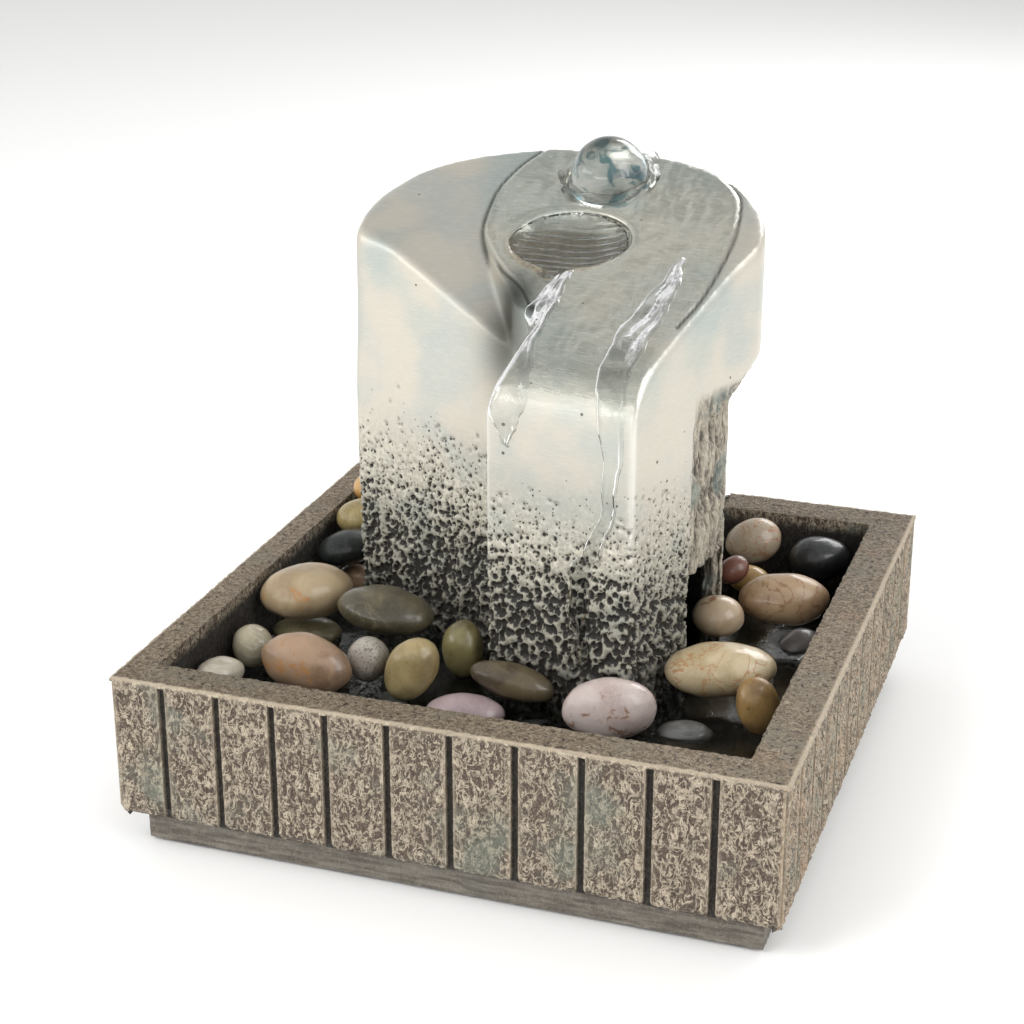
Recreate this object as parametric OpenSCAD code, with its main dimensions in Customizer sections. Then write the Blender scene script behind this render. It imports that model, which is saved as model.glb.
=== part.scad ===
// Tabletop water fountain: a slatted square basin, a cast column with a sloping
// tongue, a glass ball on a water jet, a submersible pump and loose pebbles.
// Millimetres. Origin: centre of the basin's footprint on the resting surface.
// +Z up, the tongue faces -Y, +X to the right.

/* [Basin] */
// Width of the basin, left to right
basin_w = 220; // [200:1:290]
// Depth of the basin, front to back
basin_d = 220; // [210:1:290]
// Height of the rim above the resting surface
basin_h = 62; // [54:1:80]
// Width of the rim on the left
rim_left = 11; // [9:0.5:14]
// Width of the rim on the right
rim_right = 15; // [9:0.5:16]
// Width of the rim at the front
rim_front = 14; // [9:0.5:15]
// Width of the rim at the back
rim_back = 15; // [9:0.5:16]
// Height of the well's floor above the resting surface
well_floor = 22; // [18:1:26]
// Thickness of the well's floor
floor_t = 6; // [4:0.5:10]
// Height of the plain plinth below the slatted skirt
plinth_h = 12; // [9:1:16]
// How far the plinth stands in from the skirt
plinth_inset = 7; // [4:0.5:9]
// Width of the plinth's ring under the floor
plinth_ring = 16; // [15:1:24]
// Width of the grooves between slats
groove_w = 2.4; // [1.5:0.1:3.5]
// Depth of the grooves between slats
groove_t = 2; // [1:0.1:3]
// Chamfer along the skirt's bottom edge
skirt_chamfer = 3; // [1:0.5:5]
// Width of the cord notch in the back rim
notch_w = 9; // [7:0.5:14]
// Depth of the cord notch below the rim
notch_h = 9; // [7:0.5:14]

/* [Feet] */
// Radius of a rubber foot
foot_r = 6; // [4:0.5:7]
// Thickness of a rubber foot
foot_t = 3; // [2:0.5:5]
// How far a foot stands below the plinth
foot_proud = 1; // [0.5:0.25:1.5]

/* [Column] */
// Height of the column's crest above the resting surface
crest_z = 202; // [190:0.1:242.4]
// Wall around the column's hollow
column_wall = 7; // [5:0.5:8]
// Width of the tongue at its front face
tongue_w = 52; // [46:1:58]
// Radius of the shoulder where the tongue turns down
shoulder_r = 25; // [18:1:30]
// Slope of the tongue's top in degrees
tongue_slope = 28.7; // [24:0.1:33]
// How far the smooth head overhangs the rough core
overhang = 10; // [6:1:12]
// Half the width of the bowl that holds the pool
bowl_r = 22.5; // [18:0.5:24]
// Depth of the pool's bowl below the tongue's surface
bowl_h = 15; // [10:1:18]
// Height of the arch at the foot, above the well's floor
arch_h = 52; // [46:1:58]
// Width of the arch at the foot
arch_w = 34; // [20:1:36]

/* [Glass ball and jet] */
// Radius of the glass ball
ball_r = 13; // [10:0.1:15.6]
// Gap between the ball and its seat
ball_gap = 0.3; // [0.2:0.05:0.6]
// Radius of the jet nozzle's plug in the column
nozzle_r = 5; // [4.5:0.25:6.5]
// Radius of the nozzle's and pump's water way
water_r = 2.2; // [1.5:0.1:2.5]
// Inner radius of the hose
hose_bore_r = 3.55; // [3.3:0.05:4]
// Wall of the hose
hose_wall = 1.45; // [1:0.05:2]
// Radial gap between the hose and the pump's spigot
hose_gap = 0.05; // [0.02:0.01:0.08]

/* [Pump] */
// Width of the pump
pump_w = 36; // [34:1:40]
// Height of the pump's housing
pump_h = 34; // [33:0.1:40.8]
// Length of the motor housing
motor_l = 26; // [24:1:28]
// Length of the impeller cover
cover_l = 9; // [8:0.5:11]
// Length of the strainer
strainer_l = 9; // [7:0.5:10]
// Wall of the pump's plastic shells
pump_wall = 2; // [1.5:0.1:2.5]
// Radius of the impeller's vanes
impeller_r = 9.6; // [8:0.1:10]
// Number of impeller vanes
vanes = 6; // [4:1:8]
// Radius of the rotor magnet
magnet_r = 6.6; // [5.5:0.1:6.8]
// Radius of the ceramic shaft
shaft_r = 1; // [0.8:0.1:1.4]
// Radial running gap between rotor and shaft
run_gap = 0.05; // [0.02:0.01:0.08]
// Height of the suction cups
cup_h = 4; // [3:0.5:6]

/* [Hidden] */
$fn = 64;
eps = 0.01;
big = 400;

// --- basin ---
well_x0 = -basin_w/2 + rim_left;
well_x1 = basin_w/2 - rim_right;
well_y0 = -basin_d/2 + rim_front;
well_y1 = basin_d/2 - rim_back;
// Widths of the slats along a side, as on a hand-cut board
slat_widths = [18, 19, 19, 18, 20.5, 20.5, 21, 21, 21, 20, 22];
groove_top_gap = 1.5;
notch_x = 34;

// --- column plan, foot and head ---
front_left = [-11, -31];
front_turn = -6.6;                       // the front face turns this far to the right
front_right = front_left + tongue_w * [cos(front_turn), sin(front_turn)];
side_back = front_right + [11, 30];      // where the tongue's right side meets the core
cleft = [-10, -5.4];                     // where the left face meets the tongue
left_corner = [-78, 19.7];
dome = [-5, 24];                         // centre of the rounded back
dome_left = dome[0] - left_corner[0];
dome_right = 71;
dome_back = 45;
back_overhang = overhang/2;
foot_plan = concat([left_corner, cleft, front_left, front_right, side_back],
    arc(dome, [dome_right - overhang, dome_back - back_overhang], 0, 90, 8),
    arc(dome, [dome_left, dome_back - back_overhang], 98, 180, 8));
head_plan = concat([left_corner, cleft, front_left, front_right, side_back, side_back + [8, 19]],
    arc(dome, [dome_right, dome_back], 0, 90, 10),
    arc(dome, [dome_left, dome_back], 98, 180, 10));
head_under_z = crest_z - 55;             // lowest point of the head's overhang
core_top_z = head_under_z - 18;          // where the overhang's slope meets the core
lip_turn = atan((head_under_z - core_top_z) / overhang);

// --- sloping top, as a side profile seen from +X: [distance behind the front, height] ---
shoulder_z = crest_z - 66;
shoulder_turn = 90 - tongue_slope;
crown_rise = 0.42;                       // slope of the flatter part behind the tongue
crown_y = 66;                            // where that flatter part starts
crown_z = shoulder_z + shoulder_r*sin(shoulder_turn)
    + (crown_y - shoulder_r*(1 - cos(shoulder_turn))) * tan(tongue_slope);
top_profile = concat([[0, 0]],
    [for (i = [0 : 8]) let (t = shoulder_turn*i/8)
        [shoulder_r*(1 - cos(t)), shoulder_z + shoulder_r*sin(t)]],
    [[crown_y, crown_z], [crown_y + (crest_z - crown_z)/crown_rise, crest_z],
     [150, crest_z], [150, 0]]);
// Left lobe: its top tilts down to the front and towards the cleft
lobe_point = [-69, 16, crest_z - 23];
lobe_front_tilt = 35.8;
lobe_right_tilt = 13.6;
// The tongue's left wall leans in above its shoulder
tongue_lean = 23;

// --- ball, bowl and jet ---
ball_at = [5.5, 50, crest_z - 5];
bowl_at = [-0.5, 21.5, crest_z - 18];
bowl_front = 14.5;                       // half the bowl's size, front to back
spout_r = 5;
spout_l = 24;
plug_top_gap = 3;                        // between the plug and the ball
plug_top_z = ball_at[2] - ball_r - plug_top_gap;

// --- hollow ---
foot_hollow_z = crest_z - 84;
hose_hollow_z = crest_z - 52;
hose_hollow = [[-26, 8], [36, 52]];      // plan corners of the upper hollow
plug_room = 1.5;                         // around the hose's end on the plug's barb

// --- pump ---
pump_at = [16.5, 25.5];                    // centre of the impeller and the spigot
pump_z = well_floor + cup_h;
axis_z = pump_z + 19;
motor_y = pump_at[1] - cover_l/2 - motor_l;
cover_y = pump_at[1] - cover_l/2;
strainer_y = cover_y + cover_l;
rotor_well_r = 8.5;
rotor_well_wall = 1;
chamber_r = impeller_r + 1;
chamber_wall = 1.5;
spigot_r = hose_bore_r - hose_gap;
spigot_h = 12;
bush_r = 3;
bush_l = 3;
seal_w = 1.2;
seal_inset = 0.9;
core_t = 4;
core_l = 14;
coil_l = 14;
coil_t = 1.6;
yoke_z = pump_z + 4;
dial_r = 8;
dial_t = 1.2;
inlet_r = 4.5;
strainer_wall = 1.2;
strainer_lap = 2;
slot_w = 1.6;
slots = 7;
gland_r = 3.2;
gland_l = 4;
gland_y = motor_y + 9;
cup_r = 5;

// --- hose route ---
hose_r = hose_bore_r + hose_wall;
hose_foot_z = pump_z + pump_h + strainer_wall + 0.5;
bend_z0 = pump_z + pump_h + spigot_h + 2;
barb_l = 12;
bend_z1 = hose_hollow_z - barb_l - 1;
hose_shift = norm([ball_at[0], ball_at[1]] - pump_at);
hose_turn = 2*atan(hose_shift / (bend_z1 - bend_z0));
hose_bend_r = (bend_z1 - bend_z0) / (2*sin(hose_turn));
hose_yaw = atan2(ball_at[1] - pump_at[1], ball_at[0] - pump_at[0]);

// --- pebbles: [centre from the basin's middle, half sizes, turn], heights above the floor ---
PEBBLES = [
    [[-91, 63.8, 42.4], [8, 7, 6.5],    [0, 0, 60],   "#c9923f"],
    [[-90, 48, 36.5],   [9.5, 8, 7],    [0, 0, 60],   "#a9955c"],
    [[-88, 30.5, 31],   [12.5, 8, 6.5], [0, -8, 45],  "#1c2420"],
    [[-83.5, -16, 33.5],[17, 12, 10],   [0, 0, 40],   "#b39c78"],
    [[-84.5, 33, 18],   [7, 6, 6],      [0, 0, 0],    "#7a6348"],
    [[-51, -22.5, 34],  [17.5, 12, 8],  [0, 6, 10],   "#5a5640"],
    [[-85.5, -12.5, 16],[13, 7.5, 6],   [0, 0, 15],   "#8d8460"],
    [[-90, -47, 25],    [8, 7.5, 8],    [0, 0, 0],    "#b0a68a"],
    [[-90.5, -72, 26],  [10, 6.5, 6],   [0, 0, 60],   "#c8bda4"],
    [[-65, -58.5, 28],  [16, 9, 10.5],  [0, 12, 10],  "#a68668"],
    [[-48.5, -44.5, 26],[7.5, 7.5, 8.5],[0, 0, 0],    "#9c9488"],
    [[-31.5, -48, 26.5],[9, 7, 12.5],   [0, 28, 19],  "#94884c"],
    [[-22, -24, 24.5],  [7.5, 7, 11],   [0, 0, 19],   "#6c6140"],
    [[1.5, -40.5, 23.5],[15, 7, 6.5],   [0, 12, 5],   "#4d4330"],
    [[-12, -50.5, 14],  [14, 8, 7.5],   [0, 0, 15],   "#a8949c"],
    [[-41, -42, 9.5],   [5.5, 4.5, 4],  [0, 0, 0],    "#d2cdc2"],
    [[9.5, -40, 7],     [8, 6, 5.5],    [0, 0, 0],    "#3c3f3d"],
    [[37.5, -48, 23],   [16, 9, 11],    [0, 0, 19],   "#c2b3b0"],
    [[67, -18, 28],     [19, 11, 9.5],  [0, -5, 10],  "#b8a682"],
    [[83, -30.5, 23],   [7.5, 6.5, 11.5],[0, -15, 19],"#8f6f35"],
    [[61, -40, 13],     [10, 6, 5.5],   [0, 0, 10],   "#6d6b66"],
    [[66, -56, 8],      [15, 7, 6],     [0, 0, 10],   "#28302b"],
    [[66, 12, 17],      [14, 7, 5.5],   [0, 0, 10],   "#8c7a42"],
    [[57, 19, 30],      [9.5, 8, 8],    [0, 0, 19],   "#bfa888"],
    [[55.5, 44.5, 36.5],[6.5, 5, 5.5],  [0, -40, 19], "#6f3f33"],
    [[58, 62, 26],      [8, 7, 5.5],    [0, 0, 0],    "#b39339"],
    [[76, 38, 31],      [16.5, 9, 10],  [0, 0, 19],   "#a88c6a"],
    [[54, 84, 32],      [11, 8, 9],     [0, -15, 19], "#bba98c"],
    [[79, 84, 28],      [12, 9, 9],     [0, 0, 20],   "#25282b"],
    [[82, 40, 11.5],    [10, 8, 7.5],   [0, 0, 60],   "#77746c"]];
// Fill pebbles lie in rows along the walls: [first, last, how many, half sizes, first turn]
FILL_ROWS = [
    [[-84, -84, 8],  [84, -84, 8],   8, [10.5, 8, 7],  10],
    [[-62, -84, 22], [84, -84, 22],  7, [10.5, 8, 6.8], 35],
    [[-80, 84, 8],   [30, 84, 8],    5, [10.5, 8, 7],  20],
    [[-78, 84, 22],  [32, 84, 22],   5, [10.5, 8.2, 6.8], 50]];

function arc(c, r, a0, a1, n) = [for (i = [0 : n]) let (t = a0 + (a1 - a0)*i/n)
    [c[0] + r[0]*cos(t), c[1] + r[1]*sin(t)]];
function sum_to(list, n) = n <= 0 ? 0 : list[n - 1] + sum_to(list, n - 1);
function two_digits(i) = str(i < 10 ? "0" : "", i);
function pebble_name(i) = str("pebble_", two_digits(i + 1));

// ---------- helpers ----------
module box(low, high) translate(low) cube(high - low);

module four_corners(x, y) for (sx = [-1, 1], sy = [-1, 1]) translate([sx*x, sy*y, 0]) children();

module along_y(at, length, radius) translate(at) rotate([-90, 0, 0]) cylinder(h = length, r = radius);

module round_tube(outer_r, inner_r, length) difference() {
    cylinder(h = length, r = outer_r);
    translate([0, 0, -1]) cylinder(h = length + 2, r = inner_r);
}

module stone(centre, half, turn)
    translate(centre) rotate(turn) scale(half) sphere(r = 1, $fn = 32);

// ---------- basin ----------
foot_x = basin_w/2 - plinth_inset - plinth_ring/2;
foot_y = basin_d/2 - plinth_inset - plinth_ring/2;

module side_grooves(length, offset_out) {
    total = sum_to(slat_widths, len(slat_widths));
    for (i = [1 : len(slat_widths) - 1])
        translate([length*(sum_to(slat_widths, i)/total - 0.5), -offset_out, 0])
            box([-groove_w/2, -eps, plinth_h - eps], [groove_w/2, groove_t, basin_h - groove_top_gap]);
}

module bottom_chamfer(length, offset_out)
    translate([0, -offset_out, plinth_h]) rotate([45, 0, 0])
        cube([length + 2, skirt_chamfer*sqrt(2), skirt_chamfer*sqrt(2)], center = true);

module basin() color("#8a7a66") difference() {
    union() {
        box([-basin_w/2, -basin_d/2, plinth_h], [basin_w/2, basin_d/2, basin_h]);
        box([-basin_w/2 + plinth_inset, -basin_d/2 + plinth_inset, foot_proud],
            [basin_w/2 - plinth_inset, basin_d/2 - plinth_inset, plinth_h + 1]);
    }
    box([well_x0, well_y0, well_floor], [well_x1, well_y1, basin_h + 1]);
    box([-basin_w/2 + plinth_inset + plinth_ring, -basin_d/2 + plinth_inset + plinth_ring, -1],
        [basin_w/2 - plinth_inset - plinth_ring, basin_d/2 - plinth_inset - plinth_ring,
         well_floor - floor_t]);
    for (turn = [0, 180]) rotate(turn) {
        side_grooves(basin_w, basin_d/2);
        bottom_chamfer(basin_w, basin_d/2);
    }
    for (turn = [90, 270]) rotate(turn) {
        side_grooves(basin_d, basin_w/2);
        bottom_chamfer(basin_d, basin_w/2);
    }
    box([notch_x - notch_w/2, well_y1 - 1, basin_h - notch_h],
        [notch_x + notch_w/2, basin_d/2 + 1, basin_h + 1]);
    four_corners(foot_x, foot_y) translate([0, 0, -1]) cylinder(h = foot_t + 1, r = foot_r);
}

module rubber_feet() color("#2b2b2b") four_corners(foot_x, foot_y) cylinder(h = foot_t, r = foot_r);

// ---------- column ----------
module prism(plan, z0, z1) translate([0, 0, z0]) linear_extrude(z1 - z0) polygon(plan);

// Everything below the sloping top, for a front face through front_left turned by yaw
module under_top(yaw) translate([front_left[0], front_left[1], 0]) rotate(yaw)
    rotate([90, 0, 90]) translate([0, 0, -big/2]) linear_extrude(big) polygon(top_profile);

module under_lobe() translate(lobe_point) rotate([lobe_front_tilt, lobe_right_tilt, 0])
    box([-big/2, -big/2, -big], [big/2, big/2, 0]);

// The region right of the seam, which the tongue and the bowl belong to
module seam_side() prism([front_left + [-1, -20], [90, -60], [90, 100], [-21, 100], [-21, 70],
    [-33, 27], [-22, 11], cleft], -1, crest_z + 1);

module lip_cut(at, yaw) translate([at[0], at[1], core_top_z]) rotate(yaw)
    rotate([0, -lip_turn, 0]) box([0, -big/2, -big], [big/2, big/2, 0]);

module head() difference() {
    prism(head_plan, core_top_z, crest_z);
    lip_cut([dome[0] + dome_right - overhang, dome[1]], 0);
    lip_cut([dome[0] + (dome_right - overhang)*cos(45), dome[1] + (dome_back - back_overhang)*sin(45)], 52);
    lip_cut([dome[0], dome[1] + dome_back - back_overhang], 90);
}

module column_block() {
    head();
    prism(foot_plan, well_floor, core_top_z + 20);
}

module tongue_part() difference() {
    intersection() {
        column_block();
        seam_side();
        under_top(front_turn);
    }
    // the leaning left wall above the shoulder
    translate([front_left[0], 0, shoulder_z]) rotate([0, tongue_lean, 0])
        box([-40, -big/2, 0], [0, cleft[1], big]);
}

module lobe_part() intersection() {
    column_block();
    under_top(0);
    under_lobe();
}

module column_hollow() {
    translate([0, 0, well_floor - 1]) linear_extrude(foot_hollow_z - well_floor + 1)
        offset(delta = -column_wall) polygon(foot_plan);
    box([hose_hollow[0][0], hose_hollow[0][1], foot_hollow_z - 1],
        [hose_hollow[1][0], hose_hollow[1][1], hose_hollow_z]);
    box([ball_at[0] - hose_r - plug_room, hose_hollow[0][1], foot_hollow_z - 1],
        [ball_at[0] + hose_r + plug_room, ball_at[1] + hose_r + plug_room, hose_hollow_z]);
}

module column() color("#b9b5a4") difference() {
    union() {
        tongue_part();
        lobe_part();
    }
    column_hollow();
    // arch in the foot, behind the tongue's right side
    box([dome[0] + dome_right - overhang - 14, side_back[1] + 3, well_floor - 1],
        [big/2, side_back[1] + 3 + arch_w, well_floor + arch_h]);
    // bowl of the pool and its spout into the cleft
    translate(bowl_at) scale([bowl_r, bowl_front, bowl_h]) sphere(r = 1, $fn = 32);
    translate(bowl_at - [0.5, bowl_front/2, bowl_h*0.4])
        rotate([115, 0, -14]) cylinder(h = spout_l, r = spout_r);
    // seat of the ball and the plug's bore below it
    translate(ball_at) sphere(r = ball_r + ball_gap);
    translate([ball_at[0], ball_at[1], hose_hollow_z - 1])
        cylinder(h = ball_at[2] - ball_r - hose_hollow_z + 1, r = nozzle_r);
}

module glass_ball() color("#dfeaf0", 0.5) translate(ball_at) sphere(r = ball_r);

module jet_nozzle() color("#33363a") translate([ball_at[0], ball_at[1], 0]) difference() {
    union() {
        translate([0, 0, hose_hollow_z]) cylinder(h = plug_top_z - hose_hollow_z, r = nozzle_r);
        translate([0, 0, hose_hollow_z - barb_l]) cylinder(h = barb_l + 1, r = hose_bore_r);
    }
    translate([0, 0, hose_hollow_z - barb_l - 1])
        cylinder(h = plug_top_z - hose_hollow_z + barb_l + 2, r = water_r);
}

// The hose's route, up from the pump: [shift towards the plug, height, tilt]
function bend_shift(t) = hose_bend_r*(1 - cos(t));
function bend_rise(t) = hose_bend_r*sin(t);
hose_path = concat([[0, hose_foot_z, 0]],
    [for (i = [0 : 4]) let (t = hose_turn*i/4) [bend_shift(t), bend_z0 + bend_rise(t), t]],
    [for (i = [3 : -1 : 0]) let (t = hose_turn*i/4)
        [hose_shift - bend_shift(t), bend_z1 - bend_rise(t), t]],
    [[hose_shift, hose_hollow_z, 0]]);

// Rings of a tube in the path's plane; flats, not corners, lie at the radius
function tube_points(path, radius, sides) = [for (p = path, j = [0 : sides - 1])
    let (a = 360*j/sides, r = radius/cos(180/sides))
        [p[0] + r*cos(a)*cos(p[2]), r*sin(a), p[1] - r*cos(a)*sin(p[2])]];

module swept_tube(path, outer_r, inner_r, sides) {
    last = len(path) - 1;
    function outer(i, j) = i*sides + j % sides;
    function inner(i, j) = (last + 1)*sides + outer(i, j);
    polyhedron(concat(tube_points(path, outer_r, sides), tube_points(path, inner_r, sides)),
        concat(
            [for (i = [0 : last - 1], j = [0 : sides - 1])
                [outer(i, j), outer(i + 1, j), outer(i + 1, j + 1), outer(i, j + 1)]],
            [for (i = [0 : last - 1], j = [0 : sides - 1])
                [inner(i, j), inner(i, j + 1), inner(i + 1, j + 1), inner(i + 1, j)]],
            [for (j = [0 : sides - 1]) [outer(0, j), outer(0, j + 1), inner(0, j + 1), inner(0, j)]],
            [for (j = [0 : sides - 1])
                [outer(last, j + 1), outer(last, j), inner(last, j), inner(last, j + 1)]]));
}

module hose() color("#d9dedb") translate([pump_at[0], pump_at[1], 0]) rotate(hose_yaw)
    swept_tube(hose_path, hose_r, hose_bore_r, 16);

// ---------- pump ----------
px0 = pump_at[0] - pump_w/2;
px1 = pump_at[0] + pump_w/2;
motor_end_y = motor_y + motor_l;
well_end_y = motor_y + 3;
chamber_y0 = cover_y;
chamber_l = cover_l - chamber_wall;

module motor_chamber() box([px0 + pump_wall, motor_y + pump_wall, pump_z + pump_wall],
    [px1 - pump_wall, motor_end_y - pump_wall, pump_z + pump_h - pump_wall]);

module rotor_well_outside()
    along_y([pump_at[0], well_end_y, axis_z], motor_end_y - well_end_y, rotor_well_r);

module seal_groove(grow) difference() {
    box([px0 + seal_inset - grow, motor_end_y - seal_w, pump_z + seal_inset - grow],
        [px1 - seal_inset + grow, motor_end_y, pump_z + pump_h - seal_inset + grow]);
    box([px0 + seal_inset + seal_w, motor_end_y - seal_w - 1, pump_z + seal_inset + seal_w],
        [px1 - seal_inset - seal_w, motor_end_y + 1, pump_z + pump_h - seal_inset - seal_w]);
}

module pump_housing() color("#1f2123") difference() {
    box([px0, motor_y, pump_z], [px1, motor_end_y, pump_z + pump_h]);
    difference() {
        motor_chamber();
        rotor_well_outside();
    }
    along_y([pump_at[0], well_end_y + rotor_well_wall + bush_l, axis_z], motor_l,
        rotor_well_r - rotor_well_wall);
    along_y([pump_at[0], well_end_y + rotor_well_wall, axis_z], bush_l + 1, bush_r);
    seal_groove(0);
    translate([px1 - pump_wall - 1, gland_y, pump_z + 8]) rotate([0, 90, 0])
        cylinder(h = pump_wall + 2, r = gland_r - 1);
}

module seal_ring() color("#3a3a3a") seal_groove(0);

module stator_core() color("#7e8084") difference() {
    union() {
        for (side = [-1, 1])
            translate([pump_at[0] + side*(rotor_well_r + core_t/2 - 1), 0, 0])
                box([-core_t/2, motor_y + 6, yoke_z], [core_t/2, motor_y + 6 + core_l, axis_z + 6]);
        box([pump_at[0] - rotor_well_r, motor_y + 6, yoke_z],
            [pump_at[0] + rotor_well_r, motor_y + 6 + core_l, yoke_z + core_t - 1]);
    }
    rotor_well_outside();
}

module stator_coil() color("#a8622d") difference() {
    box([pump_at[0] - rotor_well_r + 2, motor_y + 6 - coil_t, yoke_z - coil_t],
        [pump_at[0] + rotor_well_r - 2, motor_y + 6 + core_l + coil_t, yoke_z + core_t - 1 + coil_t]);
    box([pump_at[0] - rotor_well_r, motor_y + 6, yoke_z],
        [pump_at[0] + rotor_well_r, motor_y + 6 + core_l, yoke_z + core_t - 1]);
}

module potting() color("#4a4238") difference() {
    motor_chamber();
    rotor_well_outside();
    stator_core_envelope();
}

module stator_core_envelope() box(
    [pump_at[0] - rotor_well_r - core_t + 1, motor_y + 6 - coil_t, yoke_z - coil_t],
    [pump_at[0] + rotor_well_r + core_t - 1, motor_y + 6 + core_l + coil_t, axis_z + 6]);

module rear_bush() color("#5c5c5c") difference() {
    along_y([pump_at[0], well_end_y + rotor_well_wall, axis_z], bush_l, bush_r);
    along_y([pump_at[0], well_end_y, axis_z], bush_l + 3, shaft_r);
}

shaft_y0 = well_end_y + rotor_well_wall;
front_bush_y = cover_y + chamber_l - 1;

module front_bush() color("#5c5c5c") difference() {
    along_y([pump_at[0], front_bush_y, axis_z], bush_l - 0.5, bush_r - 1);
    along_y([pump_at[0], front_bush_y - 1, axis_z], bush_l + 2, shaft_r);
}

module pump_shaft() color("#e8e4da")
    along_y([pump_at[0], shaft_y0, axis_z], front_bush_y + bush_l - 0.5 - shaft_y0, shaft_r);

magnet_y0 = shaft_y0 + bush_l + 1;
magnet_y1 = motor_end_y - 1;

module rotor_magnet() color("#3b3e44") difference() {
    along_y([pump_at[0], magnet_y0, axis_z], magnet_y1 - magnet_y0, magnet_r);
    along_y([pump_at[0], magnet_y0 - 1, axis_z], magnet_y1 - magnet_y0 + 2, shaft_r + run_gap);
}

impeller_y1 = front_bush_y - 0.6;

module impeller() color("#d8d8d2") difference() {
    union() {
        along_y([pump_at[0], magnet_y1, axis_z], impeller_y1 - magnet_y1, 3);
        along_y([pump_at[0], cover_y + 0.8, axis_z], 1.2, 7);
        for (i = [0 : vanes - 1]) translate([pump_at[0], 0, axis_z]) rotate([0, 360*i/vanes, 0])
            box([1.5, cover_y + 1.5, -0.6], [impeller_r, impeller_y1, 0.6]);
    }
    along_y([pump_at[0], magnet_y1 - 1, axis_z], 30, shaft_r + run_gap);
}

module impeller_cover() color("#26282b") {
    difference() {
        union() {
            box([px0, cover_y, pump_z], [px1, strainer_y, pump_z + pump_h]);
            translate([pump_at[0], pump_at[1], pump_z + pump_h - 1])
                cylinder(h = spigot_h + 1, r = spigot_r);
        }
        along_y([pump_at[0], cover_y - 1, axis_z], chamber_l + 1, chamber_r);
        along_y([pump_at[0], cover_y, axis_z], cover_l + 1, inlet_r);
        translate([pump_at[0], pump_at[1], axis_z])
            cylinder(h = pump_h + spigot_h, r = water_r);
    }
    // spider that carries the front bush
    difference() {
        union() {
            along_y([pump_at[0], front_bush_y + 1, axis_z], bush_l - 1.5, bush_r);
            for (turn = [0, 90]) translate([pump_at[0], 0, axis_z]) rotate([0, turn, 0])
                box([-inlet_r - 0.5, front_bush_y + 1, -0.6], [inlet_r + 0.5, front_bush_y + bush_l - 0.5, 0.6]);
        }
        along_y([pump_at[0], front_bush_y - 1, axis_z], bush_l + 2, bush_r - 1);
    }
}

module flow_dial() color("#3f8f6b") difference() {
    union() {
        along_y([pump_at[0], strainer_y + 0.2, axis_z], dial_t, dial_r);
        box([pump_at[0] - 1.5, strainer_y + 0.2, axis_z + dial_r - 1],
            [pump_at[0] + 1.5, strainer_y + 0.2 + dial_t + 1.5, axis_z + dial_r + 3]);
    }
    // the dial's wide end of the opening
    along_y([pump_at[0] - 3.2, strainer_y - 1, axis_z], dial_t + 4, 3);
    along_y([pump_at[0] + 4.6, strainer_y - 1, axis_z], dial_t + 4, 1.6);
    along_y([pump_at[0], strainer_y - 1, axis_z], dial_t + 4, 1.2);
}

module strainer_cover() color("#26282b") difference() {
    box([px0 - strainer_wall, strainer_y - strainer_lap, pump_z + 1],
        [px1 + strainer_wall, strainer_y + strainer_l, pump_z + pump_h + strainer_wall]);
    box([px0 - 0.1, strainer_y - strainer_lap - 1, pump_z], [px1 + 0.1, strainer_y, pump_z + pump_h + 0.1]);
    box([px0 + 1, strainer_y - 1, pump_z + 2],
        [px1 - 1, strainer_y + strainer_l - strainer_wall, pump_z + pump_h - 1]);
    // notch that slides off past the spigot
    box([pump_at[0] - spigot_r - 0.5, strainer_y - strainer_lap - 1, pump_z + pump_h - 1],
        [pump_at[0] + spigot_r + 0.5, pump_at[1] + spigot_r + 0.5, pump_z + pump_h + 2]);
    for (i = [0 : slots - 1])
        translate([pump_at[0] + (i - (slots - 1)/2)*(pump_w - 6)/(slots - 1), 0, 0])
            box([-slot_w/2, strainer_y + 1, pump_z + 5],
                [slot_w/2, strainer_y + strainer_l + 1, pump_z + pump_h - 5]);
}

module suction_cups() color("#303030")
    for (x = [px0 + cup_r + 1, px1 - cup_r - 1], y = [motor_y + cup_r + 1, strainer_y - cup_r - 2])
        translate([x, y, well_floor]) difference() {
            rotate_extrude() polygon([[0, 0], [cup_r, 0], [cup_r - 0.5, 0.8], [2, cup_h - 1],
                [2, cup_h], [0, cup_h]]);
            translate([0, 0, -1]) cylinder(h = 1.8, r = cup_r - 2);
        }

module cord_gland() color("#202224") translate([px1, gland_y, pump_z + 8]) rotate([0, 90, 0])
    difference() {
        union() {
            cylinder(h = gland_l, r = gland_r);
            translate([0, 0, -pump_wall]) cylinder(h = pump_wall + 1, r = gland_r - 1);
        }
        translate([0, 0, -pump_wall - 1]) cylinder(h = pump_wall + gland_l + 2, r = 1.4);
    }

// ---------- pebbles ----------
module pebble(i) color(PEBBLES[i][3])
    stone(PEBBLES[i][0] + [0, 0, well_floor], PEBBLES[i][1], PEBBLES[i][2]);

module fill_pebbles() color("#8f8672") for (row = FILL_ROWS, i = [0 : row[2] - 1])
    stone(row[0] + (row[1] - row[0])*i/(row[2] - 1) + [0, 0, well_floor], row[3],
        [0, 0, row[4] + 47*i]);

basin();
rubber_feet();
column();
jet_nozzle();
hose();
glass_ball();
pump_housing();
impeller_cover();
strainer_cover();
flow_dial();
seal_ring();
impeller();
rotor_magnet();
pump_shaft();
rear_bush();
front_bush();
stator_core();
stator_coil();
potting();
suction_cups();
cord_gland();
fill_pebbles();
for (i = [0 : len(PEBBLES) - 1])
    pebble(i);
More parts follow.
